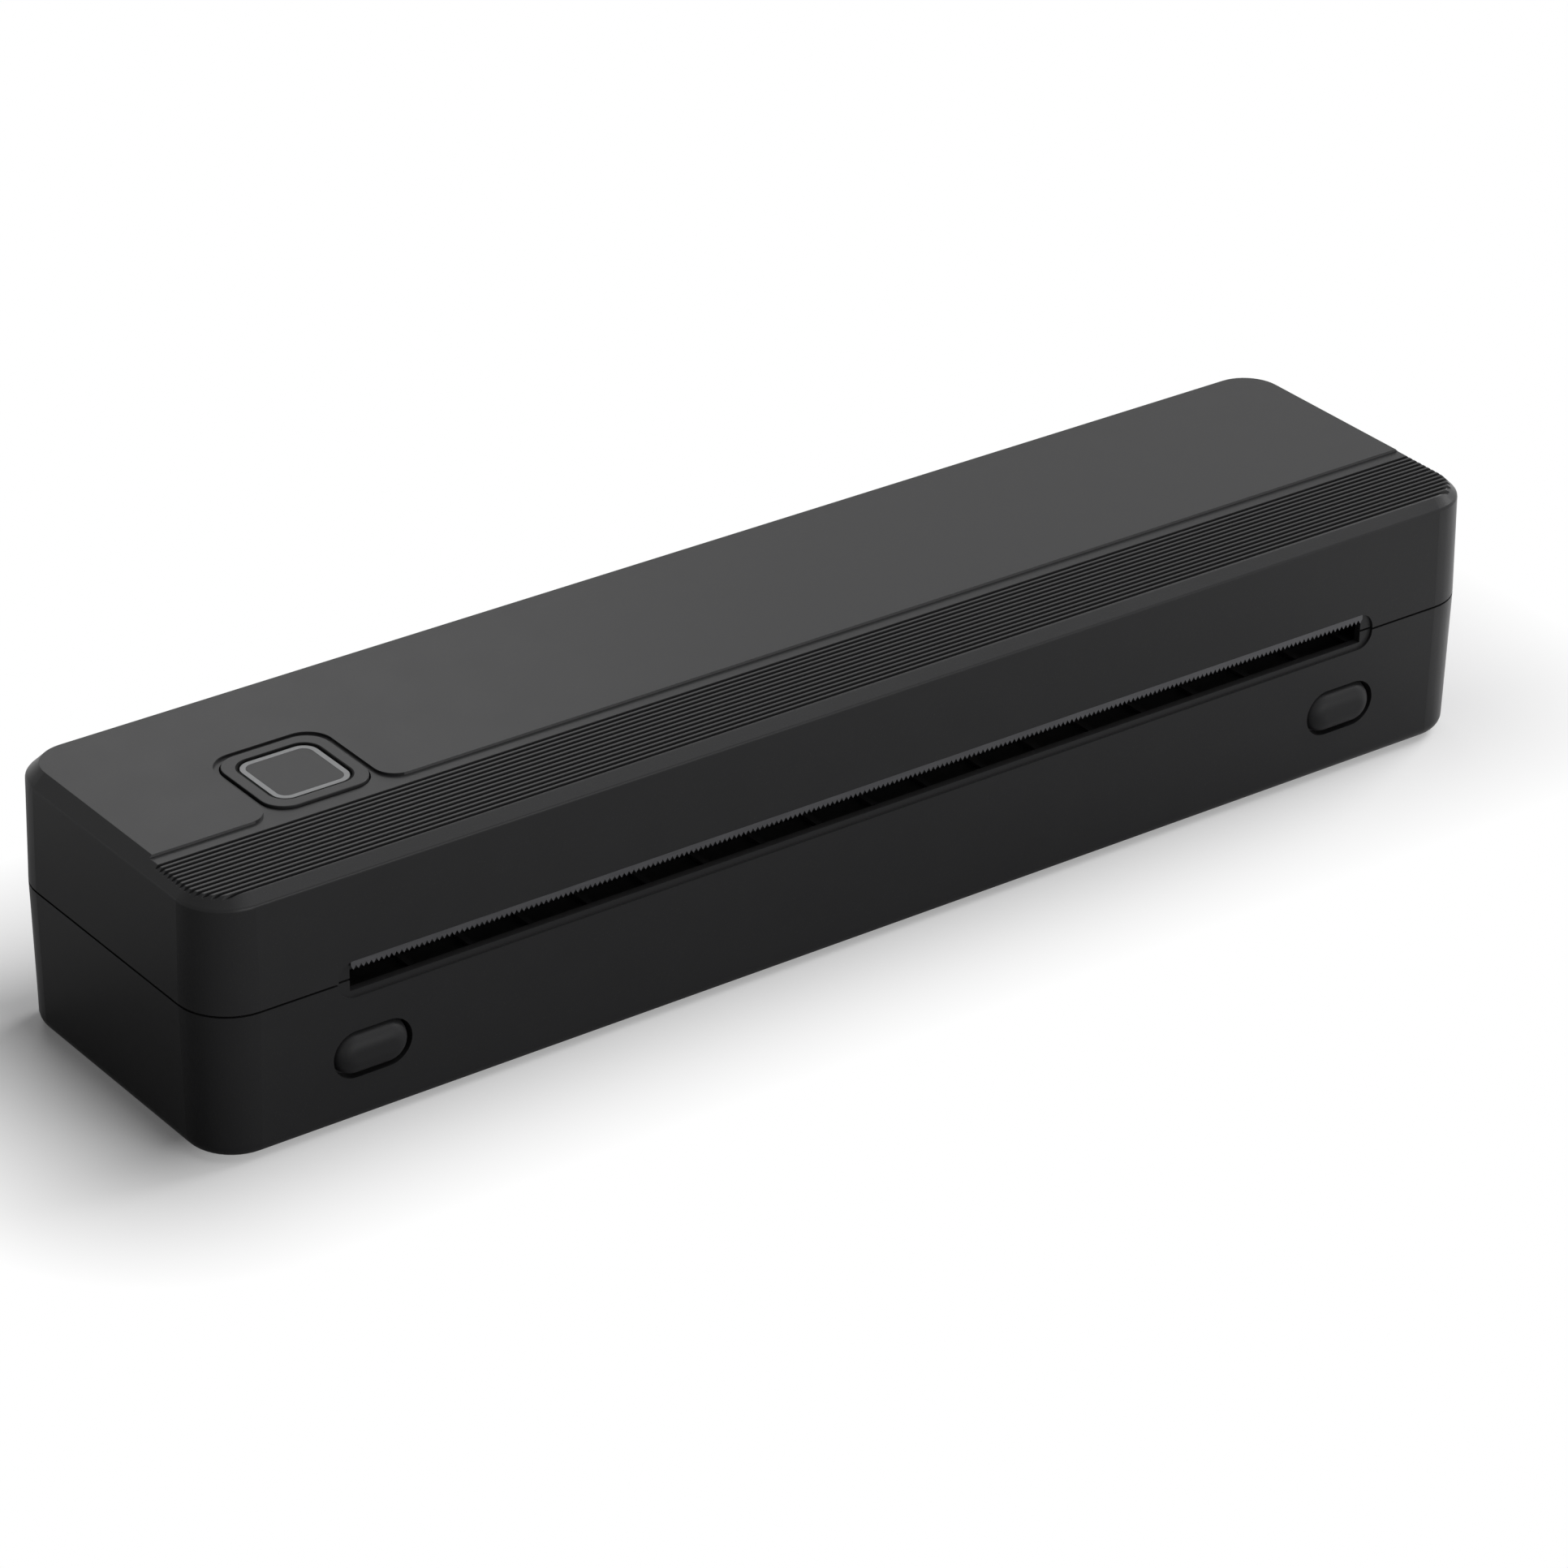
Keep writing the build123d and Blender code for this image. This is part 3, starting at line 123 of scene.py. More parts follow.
class Signal:
    """A shader value that takes ordinary arithmetic; each operation adds one Math node."""

    def __init__(self, graph: "Graph", socket: bpy.types.NodeSocket) -> None:
        """Keeps the socket.

        Args:
            graph: The material's graph.
            socket: The output that carries the value.
        """
        self.graph = graph
        self.socket = socket

    def _math(self, operation: str, first: Source, second: Source) -> "Signal":
        """Adds one Math node.

        Args:
            operation: Blender's name for the operation.
            first: Left-hand value.
            second: Right-hand value.

        Returns:
            The node's result.
        """
        node = self.graph.add("ShaderNodeMath", {"operation": operation}, {0: first, 1: second})
        return Signal(self.graph, node.outputs[0])

    def __add__(self, other: Source) -> "Signal":
        """Sum."""
        return self._math("ADD", self, other)

    def __radd__(self, other: Source) -> "Signal":
        """Sum with a number on the left."""
        return self._math("ADD", other, self)

    def __sub__(self, other: Source) -> "Signal":
        """Difference."""
        return self._math("SUBTRACT", self, other)

    def __rsub__(self, other: Source) -> "Signal":
        """Difference from a number."""
        return self._math("SUBTRACT", other, self)

    def __mul__(self, other: Source) -> "Signal":
        """Product."""
        return self._math("MULTIPLY", self, other)

    def __rmul__(self, other: Source) -> "Signal":
        """Product with a number on the left."""
        return self._math("MULTIPLY", other, self)

    def __gt__(self, other: Source) -> "Signal":
        """One where this is greater, else nought."""
        return self._math("GREATER_THAN", self, other)

    def __lt__(self, other: Source) -> "Signal":
        """One where this is less, else nought."""
        return self._math("LESS_THAN", self, other)

    def repeat(self, pitch: float) -> "Signal":
        """Position within a repeat of the pitch, from nought to one."""
        return self._math("FRACT", self * (1.0 / pitch), 0.0)

    def size(self) -> "Signal":
        """Absolute value."""
        return self._math("ABSOLUTE", self, 0.0)

    def root(self) -> "Signal":
        """Square root."""
        return self._math("SQRT", self, 0.0)

    def over(self, limit: float) -> "Signal":
        """How far this lies above a limit, and nought below it."""
        return self._math("MAXIMUM", self - limit, 0.0)


class Graph:
    """Node tree of one material, or of the room round the printer."""

    def __init__(self, name: str, room: bool = False) -> None:
        """Starts an empty tree with its output.

        Args:
            name: The name of the material or world.
            room: Makes a world and not a material.
        """
        self.owner = bpy.data.worlds.new(name) if room else bpy.data.materials.new(name)
        self.owner.use_nodes = True
        self.tree = self.owner.node_tree
        self.tree.nodes.clear()
        self.output = self.add("ShaderNodeOutputWorld" if room else "ShaderNodeOutputMaterial")

    def add(self, kind: str, settings: dict | None = None, inputs: dict | None = None) -> bpy.types.Node:
        """Adds a node.

        Args:
            kind: Blender's node type.
            settings: Node properties, set before the sockets.
            inputs: Values or links by socket name or number.

        Returns:
            The node.
        """
        node = self.tree.nodes.new(kind)
        for key, value in (settings or {}).items():
            setattr(node, key, value)
        for key, value in (inputs or {}).items():
            if isinstance(value, Signal):
                self.tree.links.new(value.socket, node.inputs[key])
            elif isinstance(value, tuple) and len(value) == 3 and node.inputs[key].type == "RGBA":
                node.inputs[key].default_value = (*value, 1.0)
            else:
                node.inputs[key].default_value = value
        return node

    def out(self, node: bpy.types.Node, key: Union[int, str] = 0) -> Signal:
        """Output of a node as a signal."""
        return Signal(self, node.outputs[key])

    def place(self, lines: Direction = Direction.NONE) -> Signal:
        """Position on the piece in metres, for an even pattern or for lines.

        Args:
            lines: Way that the pattern's lines run.

        Returns:
            The position.
        """
        coordinate = self.out(self.add("ShaderNodeTexCoord"), "Object")
        mapping = self.add("ShaderNodeMapping", {}, {"Vector": coordinate, "Scale": lines.value})
        return self.out(mapping)

    def axes(self) -> tuple[Signal, Signal, Signal]:
        """X, Y and Z of the position on the piece, in metres."""
        split = self.add("ShaderNodeSeparateXYZ", {}, {"Vector": self.place()})
        return self.out(split, "X"), self.out(split, "Y"), self.out(split, "Z")

    def noise(self, grain: float, detail: Detail, lines: Direction = Direction.NONE) -> Signal:
        """Noise of one grain size.

        Args:
            grain: Size of a grain in metres.
            detail: How many finer layers it adds.
            lines: Way that its lines run.

        Returns:
            Value round one half.
        """
        inputs = {"Vector": self.place(lines), "Scale": 1.0 / grain, "Detail": detail.value}
        return self.out(self.add("ShaderNodeTexNoise", {}, inputs))

    def cells(self, grain: float) -> Signal:
        """Distance to the middle of the nearest cell of a random pattern, as a share of its size."""
        inputs = {"Vector": self.place(), "Scale": 1.0 / grain}
        return self.out(self.add("ShaderNodeTexVoronoi", {}, inputs), "Distance")

    def blend(self, share: Source, first: Source, second: Source) -> Signal:
        """Colour between two colours.

        Args:
            share: Nought for the first, one for the second.
            first: Colour.
            second: Colour.

        Returns:
            The mixed colour.
        """
        inputs = {MIX_SHARE: share, MIX_FIRST: first, MIX_SECOND: second}
        return self.out(self.add("ShaderNodeMix", {"data_type": "RGBA"}, inputs), MIX_RESULT)

    def mottled(self, cloud: Signal, colour: Colour, darker: float, lighter: float) -> Signal:
        """Colour that a noise makes darker and lighter.

        Args:
            cloud: The noise.
            colour: The colour between.
            darker: Share by which it gets darker.
            lighter: Share by which it gets lighter.

        Returns:
            The mottled colour.
        """
        return self.blend(cloud, shade(colour, 1.0 - darker), shade(colour, 1.0 + lighter))

    def range(self, value: Signal, low: float, high: float, first: float, last: float) -> Signal:
        """Value carried from one range to another and held at its ends.

        Args:
            value: The value.
            low: Start of its range.
            high: End of its range.
            first: Result at low.
            last: Result at high.

        Returns:
            The result.
        """
        inputs = {"Value": value, "From Min": low, "From Max": high, "To Min": first, "To Max": last}
        return self.out(self.add("ShaderNodeMapRange", {}, inputs))

    def swing(self, noise: Signal, middle: float, reach: float) -> Signal:
        """Value that follows a noise to both sides of a middle."""
        return self.range(noise, NOISE_LOW, NOISE_HIGH, middle - reach, middle + reach)

    def relief(self, height: Signal, depth: float) -> Signal:
        """Bumped surface direction for a height from nought to one and a depth in metres."""
        return self.out(self.add("ShaderNodeBump", {}, {"Distance": depth, "Height": height}))

    def rays(self) -> tuple[Signal, Signal]:
        """Tells the rays apart.

        Returns:
            One for what the camera sees directly, and one for what it sees in or through a surface.
        """
        path = self.add("ShaderNodeLightPath")
        mirrored = self.out(path, "Is Glossy Ray") + self.out(path, "Is Transmission Ray")
        return self.out(path, "Is Camera Ray"), mirrored

    def glow(self, kind: str, colour: Colour, strength: float) -> Signal:
        """Adds a shader that gives light.

        Args:
            kind: Blender's node type, for a surface or for the room.
            colour: Its colour.
            strength: Its strength, with one for white.

        Returns:
            The shader.
        """
        return self.out(self.add(kind, {}, {"Color": colour, "Strength": strength}))

    def finish(self, shader: Signal) -> None:
        """Joins the last shader to the output."""
        self.tree.links.new(shader.socket, self.output.inputs["Surface"])

    def finish_mixed(self, share: Signal, first: Signal, second: Signal) -> None:
        """Joins two shaders to the output.

        Args:
            share: Nought for the first, one for the second.
            first: Shader.
            second: Shader.
        """
        self.finish(self.out(self.add("ShaderNodeMixShader", {}, {0: share, 1: first, 2: second})))

    def surface(self, **sockets: Source) -> None:
        """Adds the main shader, its sockets named with underscores, and joins it to the output."""
        inputs = {key.replace("_", " "): value for key, value in sockets.items()}
        self.finish(self.out(self.add("ShaderNodeBsdfPrincipled", {}, inputs)))


def shade(colour: Colour, factor: float) -> Colour:
    """Colour made lighter or darker by a factor."""
    return tuple(min(1.0, channel * factor) for channel in colour)


# --- Finishes -------------------------------------------------------------------------------------


@dataclass(frozen=True)
class SparkPlastic:
    """Moulded plastic with the fine even grain of a spark-eroded tool."""

    name: str
    colour: Colour
    roughness: float = 0.5
    roughness_swing: float = 0.05
    grain: float = 0.16 * MM
    grain_depth: float = 0.012 * MM
    grain_share: float = 0.7
    pit_scale: float = 2.2
    mottle: float = 0.05
    mottle_size: float = 9.0 * MM
    dust: float = 0.015
    dust_from: float = 0.62
    dust_full: float = 0.72
    specular: float = 0.5

    def tone(self, graph: Graph, cloud: Signal) -> Signal:
        """Makes the colour before any dust.

        Args:
            graph: The material's tree.
            cloud: Slow noise that mottles the colour.

        Returns:
            The colour.
        """
        return graph.mottled(cloud, self.colour, self.mottle, self.mottle)

    def material(self) -> bpy.types.Material:
        """Builds the material.

        Returns:
            The material.
        """
        graph = Graph(self.name)
        grain = graph.noise(self.grain, Detail.FINE)
        pits = graph.cells(self.grain * self.pit_scale)
        cloud = graph.noise(self.mottle_size, Detail.FINE)
        speck = graph.range(grain, self.dust_from, self.dust_full, 0.0, self.dust)
        colour = graph.blend(speck, self.tone(graph, cloud), WHITE)
        gloss = graph.swing(cloud, self.roughness, self.roughness_swing)
        height = grain * self.grain_share + pits * (1.0 - self.grain_share)
        graph.surface(Base_Color=colour, Roughness=gloss, Normal=graph.relief(height, self.grain_depth),
                      Specular_IOR_Level=self.specular)
        return graph.owner


@dataclass(frozen=True)
class LidPlastic(SparkPlastic):
    """Case plastic with a painted highlight: paler on the low wall in front of the top panel."""

    panel: Point = (0.0, 0.0, 0.0)
    wall_height: float = 0.5 * MM
    wall_slack: float = 0.02 * MM
    wall_reach: float = 0.1 * MM
    key_clear: float = 14.0 * MM
    painted_wall_light: Colour = (0.10, 0.10, 0.101)

    def tone(self, graph: Graph, cloud: Signal) -> Signal:
        """Makes the colour before any dust.

        Args:
            graph: The material's tree.
            cloud: Slow noise that mottles the colour.

        Returns:
            The colour.
        """
        x, y, z = graph.axes()
        key_x, edge_y, top_z = self.panel
        # Painted highlight: the low wall in front of the top panel, clear of the key, is coloured paler.
        level = (z > top_z - self.wall_height + self.wall_slack) * (z < top_z - self.wall_slack)
        wall_highlight = level * ((y - edge_y).size() < self.wall_reach) * ((x - key_x).size() > self.key_clear)
        return graph.blend(wall_highlight, super().tone(graph, cloud), self.painted_wall_light)


@dataclass(frozen=True)
class KeyPlastic:
    """Spark-grained key with its light ring; the dull gap round the ring and a band beyond it are darkened
    with painted shade.
    """

    name: str
    colour: Colour
    middle: tuple[float, float]
    ring_half: float
    ring_corner: float = 2.9 * MM
    gap: float = 0.75 * MM
    gap_shade_colour: Colour = (0.001, 0.001, 0.001)
    roughness: float = 0.33
    gap_roughness: float = 0.9
    specular: float = 0.15
    grain: float = 0.13 * MM
    grain_depth: float = 0.012 * MM
    bloom: float = 0.004
    bloom_size: float = 5.0 * MM

    def material(self) -> bpy.types.Material:
        """Builds the material.

        Returns:
            The material.
        """
        graph = Graph(self.name)
        x, y, _ = graph.axes()
        across = (x - self.middle[0]).size().over(self.ring_half - self.ring_corner)
        along = (y - self.middle[1]).size().over(self.ring_half - self.ring_corner)
        out = (across * across + along * along).root()
        # Painted shade: outside the ring's rounded outline, a band as wide as gap, over the groove and onto
        # the rim, is near black.
        gap_shade = (out > self.ring_corner) * (out < self.ring_corner + self.gap)
        tone = graph.blend(gap_shade, self.colour, self.gap_shade_colour)
        cloud = graph.noise(self.bloom_size, Detail.FINE)
        bloom = graph.range(cloud, NOISE_LOW, NOISE_HIGH, 0.0, self.bloom)
        colour = graph.blend(bloom, tone, WHITE)
        gloss = graph.range(gap_shade, 0.0, 1.0, self.roughness, self.gap_roughness)
        height = graph.noise(self.grain, Detail.FINE)
        graph.surface(Base_Color=colour, Roughness=gloss, Normal=graph.relief(height, self.grain_depth),
                      Specular_IOR_Level=self.specular)
        return graph.owner


@dataclass(frozen=True)
class DrawnMetal:
    """Bare or plated metal with fine lines one way."""

    name: str
    colour: Colour
    lines: Direction = Direction.ALONG_X
    roughness: float = 0.32
    roughness_swing: float = 0.10
    line_size: float = 0.12 * MM
    line_depth: float = 0.006 * MM
    stain: float = 0.12
    stain_size: float = 6.0 * MM
    shine: float = 0.5

    def material(self) -> bpy.types.Material:
        """Builds the material.

        Returns:
            The material.
        """
        graph = Graph(self.name)
        lines = graph.noise(self.line_size, Detail.SOFT, self.lines)
        stain = graph.noise(self.stain_size, Detail.RICH)
        colour = graph.mottled(stain, self.colour, self.stain, self.stain * self.shine)
        gloss = graph.swing(lines, self.roughness, self.roughness_swing)
        graph.surface(Base_Color=colour, Metallic=1.0, Roughness=gloss,
                      Normal=graph.relief(lines, self.line_depth))
        return graph.owner


@dataclass(frozen=True)
class GroundRubber:
    """Rubber ground to size, or moulded in a blasted tool."""

    name: str
    colour: Colour
    lines: Direction = Direction.ALONG_X
    roughness: float = 0.78
    roughness_swing: float = 0.05
    line_size: float = 0.10 * MM
    line_depth: float = 0.010 * MM
    wear: float = 0.10
    bloom: float = 0.20
    bloom_size: float = 4.0 * MM

    def material(self) -> bpy.types.Material:
        """Builds the material.

        Returns:
            The material.
        """
        graph = Graph(self.name)
        lines = graph.noise(self.line_size, Detail.SOFT, self.lines)
        bloom = graph.noise(self.bloom_size, Detail.RICH)
        colour = graph.mottled(bloom, self.colour, self.wear, self.bloom)
        gloss = graph.swing(bloom, self.roughness, self.roughness_swing)
        graph.surface(Base_Color=colour, Roughness=gloss, Normal=graph.relief(lines, self.line_depth))
        return graph.owner


@dataclass(frozen=True)
class FrostedLens:
    """Frosted light guide: pale, soft and slightly translucent."""

    name: str
    colour: Colour
    roughness: float = 0.42
    frost: float = 0.12 * MM
    frost_depth: float = 0.008 * MM
    mottle: float = 0.06
    mottle_size: float = 2.4 * MM
    scatter: float = 0.15
    scatter_radius: Point = (0.6 * MM, 0.6 * MM, 0.6 * MM)

    def material(self) -> bpy.types.Material:
        """Builds the material.

        Returns:
            The material.
        """
        graph = Graph(self.name)
        frost = graph.noise(self.frost, Detail.SOFT)
        cloud = graph.noise(self.mottle_size, Detail.SOFT)
        colour = graph.mottled(cloud, self.colour, self.mottle, self.mottle)
        graph.surface(Base_Color=colour, Roughness=self.roughness,
                      Normal=graph.relief(frost, self.frost_depth),
                      Subsurface_Weight=self.scatter, Subsurface_Radius=self.scatter_radius)
        return graph.owner


@dataclass(frozen=True)
class SolderMask:
    """Circuit board: masked laminate with raised tracks and tinned pads."""

    name: str
    colour: Colour = (0.012, 0.085, 0.045)
    track_colour: Colour = (0.030, 0.170, 0.085)
    pad_colour: Colour = (0.75, 0.72, 0.62)
    pitch: float = 2.54 * MM
    track_pitch: float = 0.63 * MM
    track_width: float = 0.42
    turn_size: float = 8.89 * MM
    turn_level: float = 0.5
    break_size: float = 3.302 * MM
    break_level: float = 0.46
    pad_size: float = 0.16
    pad_middle: float = 0.5
    pad_patch: float = 5.334 * MM
    pad_level: float = 0.52
    relief_depth: float = 0.035 * MM
    roughness: float = 0.28

    def material(self) -> bpy.types.Material:
        """Builds the material.

        Returns:
            The material.
        """
        graph = Graph(self.name)
        x, y, _ = graph.axes()
        along = graph.noise(self.turn_size, Detail.NONE) > self.turn_level
        line_x = (y.repeat(self.track_pitch) < self.track_width) * along
        line_y = (x.repeat(self.track_pitch) < self.track_width) * (1.0 - along)
        tracks = (line_x + line_y) * (graph.noise(self.break_size, Detail.NONE) > self.break_level)
        near_x = (x.repeat(self.pitch) - self.pad_middle).size() < self.pad_size
        near_y = (y.repeat(self.pitch) - self.pad_middle).size() < self.pad_size
        pads = near_x * near_y * (graph.noise(self.pad_patch, Detail.NONE) > self.pad_level)
        colour = graph.blend(tracks, self.colour, self.track_colour)
        colour = graph.blend(pads, colour, self.pad_colour)
        graph.surface(Base_Color=colour, Roughness=self.roughness, Metallic=pads,
                      Normal=graph.relief(tracks + pads, self.relief_depth))
        return graph.owner


@dataclass(frozen=True)
class GlazedCeramic:
    """Print board: white ceramic under glaze, with fine gold leads across it."""

    name: str
    colour: Colour = (0.74, 0.72, 0.66)
    lead_colour: Colour = (0.70, 0.50, 0.22)
    heater_colour: Colour = (0.10, 0.08, 0.07)
    mottle_size: float = 3.0 * MM
    darker: float = 0.05
    lighter: float = 0.04
    lead_pitch: float = 0.50 * MM
    lead_share: float = 0.45
    lead_cover: float = 0.7
    lead_height: float = 0.01 * MM
    heater_y: float = 0.0
    heater_half: float = 0.6 * MM
    roughness: float = 0.16
    glaze: float = 0.4

    def material(self) -> bpy.types.Material:
        """Builds the material.

        Returns:
            The material.
        """
        graph = Graph(self.name)
        x, y, _ = graph.axes()
        leads = x.repeat(self.lead_pitch) < self.lead_share
        heater = (y - self.heater_y).size() < self.heater_half
        cloud = graph.noise(self.mottle_size, Detail.FINE)
        body = graph.mottled(cloud, self.colour, self.darker, self.lighter)
        colour = graph.blend(leads * self.lead_cover, body, self.lead_colour)
        colour = graph.blend(heater, colour, self.heater_colour)
        graph.surface(Base_Color=colour, Roughness=self.roughness, Coat_Weight=self.glaze,
                      Normal=graph.relief(leads, self.lead_height))
        return graph.owner


@dataclass(frozen=True)
class ShrinkWrap:
    """Film shrunk round a cell, crinkled along it."""

    name: str
    colour: Colour
    roughness: float = 0.24
    crinkle: float = 2.2 * MM
    crinkle_depth: float = 0.05 * MM
    mottle: float = 0.08
    mottle_size: float = 8.8 * MM
    shine: float = 0.3

    def material(self) -> bpy.types.Material:
        """Builds the material.

        Returns:
            The material.
        """
        graph = Graph(self.name)
        crinkle = graph.noise(self.crinkle, Detail.FINE, Direction.ALONG_X)
        cloud = graph.noise(self.mottle_size, Detail.SOFT)
        colour = graph.mottled(cloud, self.colour, self.mottle, self.mottle)
        graph.surface(Base_Color=colour, Roughness=self.roughness, Coat_Weight=self.shine,
                      Normal=graph.relief(crinkle, self.crinkle_depth))
        return graph.owner


def key_pad() -> tuple[tuple[float, float], float]:
    """Middle of the power key in plan, and half the size of its light ring."""
    low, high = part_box("light_ring")
    return ((low[0] + high[0]) / 2, (low[1] + high[1]) / 2), (high[0] - low[0]) / 2


def panel_edge() -> Point:
    """Finds where the low wall in front of the top panel stands.

    Returns:
        Middle of the power key along the printer, front edge of the top panel, and its height.
    """
    setback = 21.0 * MM
    low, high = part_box("top_cover")
    return key_pad()[0][0], low[1] + setback, high[2]


def heater_line() -> float:
    """Place across the printer of the line where the print board meets the platen."""
    low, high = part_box("platen_rubber")
    return (low[1] + high[1]) / 2


FINISHES = {
    "lid_plastic": LidPlastic("lid_plastic", CASE_BLACK, roughness=0.33, specular=0.15,
                              roughness_swing=0.02, mottle=0.03, panel=panel_edge()),
    "case_plastic": SparkPlastic("case_plastic", CASE_BLACK, roughness=0.33, specular=0.15,
                                 roughness_swing=0.02, mottle=0.03),
    "button_plastic": SparkPlastic("button_plastic", (0.026, 0.026, 0.027), roughness=0.5, specular=0.15,
                                   roughness_swing=0.02, mottle=0.03),
    "key_plastic": KeyPlastic("key_plastic", CASE_BLACK, *key_pad()),
    "ring_plastic": FrostedLens("ring_plastic", (0.25, 0.255, 0.26)),
    "guide_plastic": SparkPlastic("guide_plastic", (0.012, 0.012, 0.013), roughness=0.5, specular=0.1),
    "frame_plastic": SparkPlastic("frame_plastic", (0.024, 0.024, 0.026), roughness=0.42, grain=0.3 * MM),
    "tear_steel": DrawnMetal("tear_steel", (0.10, 0.10, 0.105), roughness=0.45, stain=0.2),
    "plate_steel": DrawnMetal("plate_steel", (0.60, 0.61, 0.62), Direction.ALONG_Y),
    "screw_steel": DrawnMetal("screw_steel", (0.55, 0.56, 0.58), Direction.ALONG_Z, roughness=0.36),
    "spring_steel": DrawnMetal("spring_steel", (0.50, 0.50, 0.52), Direction.ALONG_Z, roughness=0.25),
    "shaft_steel": DrawnMetal("shaft_steel", (0.62, 0.62, 0.64), Direction.ALONG_X, roughness=0.22),
    "sink_aluminium": DrawnMetal("sink_aluminium", (0.74, 0.75, 0.76), Direction.ALONG_X, roughness=0.36),
    "ceramic_white": GlazedCeramic("ceramic_white", heater_y=heater_line()),
    "roller_rubber": GroundRubber("roller_rubber", (0.022, 0.022, 0.023), Direction.ALONG_X),
    "foot_rubber": GroundRubber("foot_rubber", (0.018, 0.018, 0.019), Direction.ALONG_Z),
    "gear_plastic": SparkPlastic("gear_plastic", (0.70, 0.68, 0.60), roughness=0.40, grain=0.2 * MM),
    "bush_plastic": SparkPlastic("bush_plastic", (0.035, 0.035, 0.036), roughness=0.35),
    "motor_can": DrawnMetal("motor_can", (0.58, 0.58, 0.60), Direction.ALONG_X, roughness=0.30),
    "tray_plastic": SparkPlastic("tray_plastic", (0.045, 0.045, 0.048), roughness=0.46, grain=0.3 * MM),
    "cell_wrap": ShrinkWrap("cell_wrap", (0.03, 0.13, 0.32)),
    "board_green": SolderMask("board_green"),
    "chip_black": SparkPlastic("chip_black", (0.018, 0.018, 0.018), roughness=0.52,
                               grain=0.1 * MM, dust=0.04),
    "coil_grey": SparkPlastic("coil_grey", (0.09, 0.09, 0.095), roughness=0.6,
                              grain=0.25 * MM, dust=0.05),
    "connector_plastic": SparkPlastic("connector_plastic", (0.72, 0.70, 0.60), roughness=0.36),
    "socket_steel": DrawnMetal("socket_steel", (0.64, 0.64, 0.65), Direction.ALONG_Y, roughness=0.24),
    "lamp_plastic": FrostedLens("lamp_plastic", (0.78, 0.77, 0.66)),
}


class Paintbox:
    """Materials by slot name, each built once."""

    def __init__(self) -> None:
        """Starts empty."""
        self.made: dict[str, bpy.types.Material] = {}

    def get(self, slot: str) -> bpy.types.Material:
        """Material of a slot.

        Args:
            slot: The record's slot name, or a finish that only this script uses.

        Returns:
            The material.
        """
        if slot not in self.made:
            self.made[slot] = FINISHES[slot].material()
        return self.made[slot]


PAINT = Paintbox()


# --- Modelling helpers ----------------------------------------------------------------------------


def clear_selection() -> None:
    """Leaves edit mode, with nothing selected."""
    if bpy.context.object and bpy.context.object.mode != "OBJECT":
        bpy.ops.object.mode_set(mode="OBJECT")
    bpy.ops.object.select_all(action="DESELECT")


def settle(piece: bpy.types.Object, name: str) -> None:
    """Names a piece and puts its place into its mesh.

    Args:
        piece: The object.
        name: Its name.
    """
    clear_selection()
    piece.select_set(True)
    bpy.context.view_layer.objects.active = piece
    bpy.ops.object.transform_apply(location=True, rotation=True, scale=True)
    piece.name = name
    piece.data.name = name


def apply_modifiers(piece: bpy.types.Object) -> None:
    """Applies every modifier of a piece in order.

    Args:
        piece: The piece.
    """
    clear_selection()
    piece.select_set(True)
    bpy.context.view_layer.objects.active = piece
    for modifier in list(piece.modifiers):
        bpy.ops.object.modifier_apply(modifier=modifier.name)


def join(pieces: list[bpy.types.Object], name: str) -> bpy.types.Object:
    """Joins pieces into one mesh.

    Args:
        pieces: Objects with their place in their meshes.
        name: Name of the result.

    Returns:
        The joined object.
    """
    clear_selection()
    for piece in pieces:
        piece.select_set(True)
    bpy.context.view_layer.objects.active = pieces[0]
    if len(pieces) > 1:
        bpy.ops.object.join()
    settle(pieces[0], name)
    return pieces[0]


def copy_at(piece: bpy.types.Object, shift: Point) -> bpy.types.Object:
    """Copies a piece with its own mesh and moves the copy.

    Args:
        piece: The model piece.
        shift: How far the copy moves, in metres.

    Returns:
        The copy.
    """
    twin = piece.copy()
    twin.data = piece.data.copy()
    bpy.context.collection.objects.link(twin)
    twin.data.transform(Matrix.Translation(shift))
    return twin


def finish_piece(piece: bpy.types.Object, slot: str, body: str, node: str) -> None:
    """Dresses a piece, hangs it on its body's empty and hides the CAD node that it stands for.

    Args:
        piece: The piece.
        slot: The record's slot for its finish.
        body: CAD body that carries it.
        node: CAD node that it stands for.
    """
    piece.data.materials.clear()
    piece.data.materials.append(PAINT.get(slot))
    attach(piece, body)
    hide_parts(node)
    LOG.info("%s: %s on %s", piece.name, slot, body)


def joint_named(name: str) -> dict:
    """Finds a joint of the record.

    Args:
        name: The joint's name.

    Returns:
        The joint's entry.
    """
    return next(joint for joint in frame["record"]["behaviour"]["joints"] if joint["name"] == name)


def dress_node(node: str, slot: str) -> None:
    """Gives a CAD node its finish.

    Args:
        node: The node's name.
        slot: Slot of its finish.
    """
    piece = frame["nodes"][node]
    if not piece.material_slots:
        piece.data.materials.append(None)
    for holder in piece.material_slots:
        holder.material = PAINT.get(slot)
    LOG.info("%s: %s", node, slot)


# --- Sub-assemblies -------------------------------------------------------------------------------


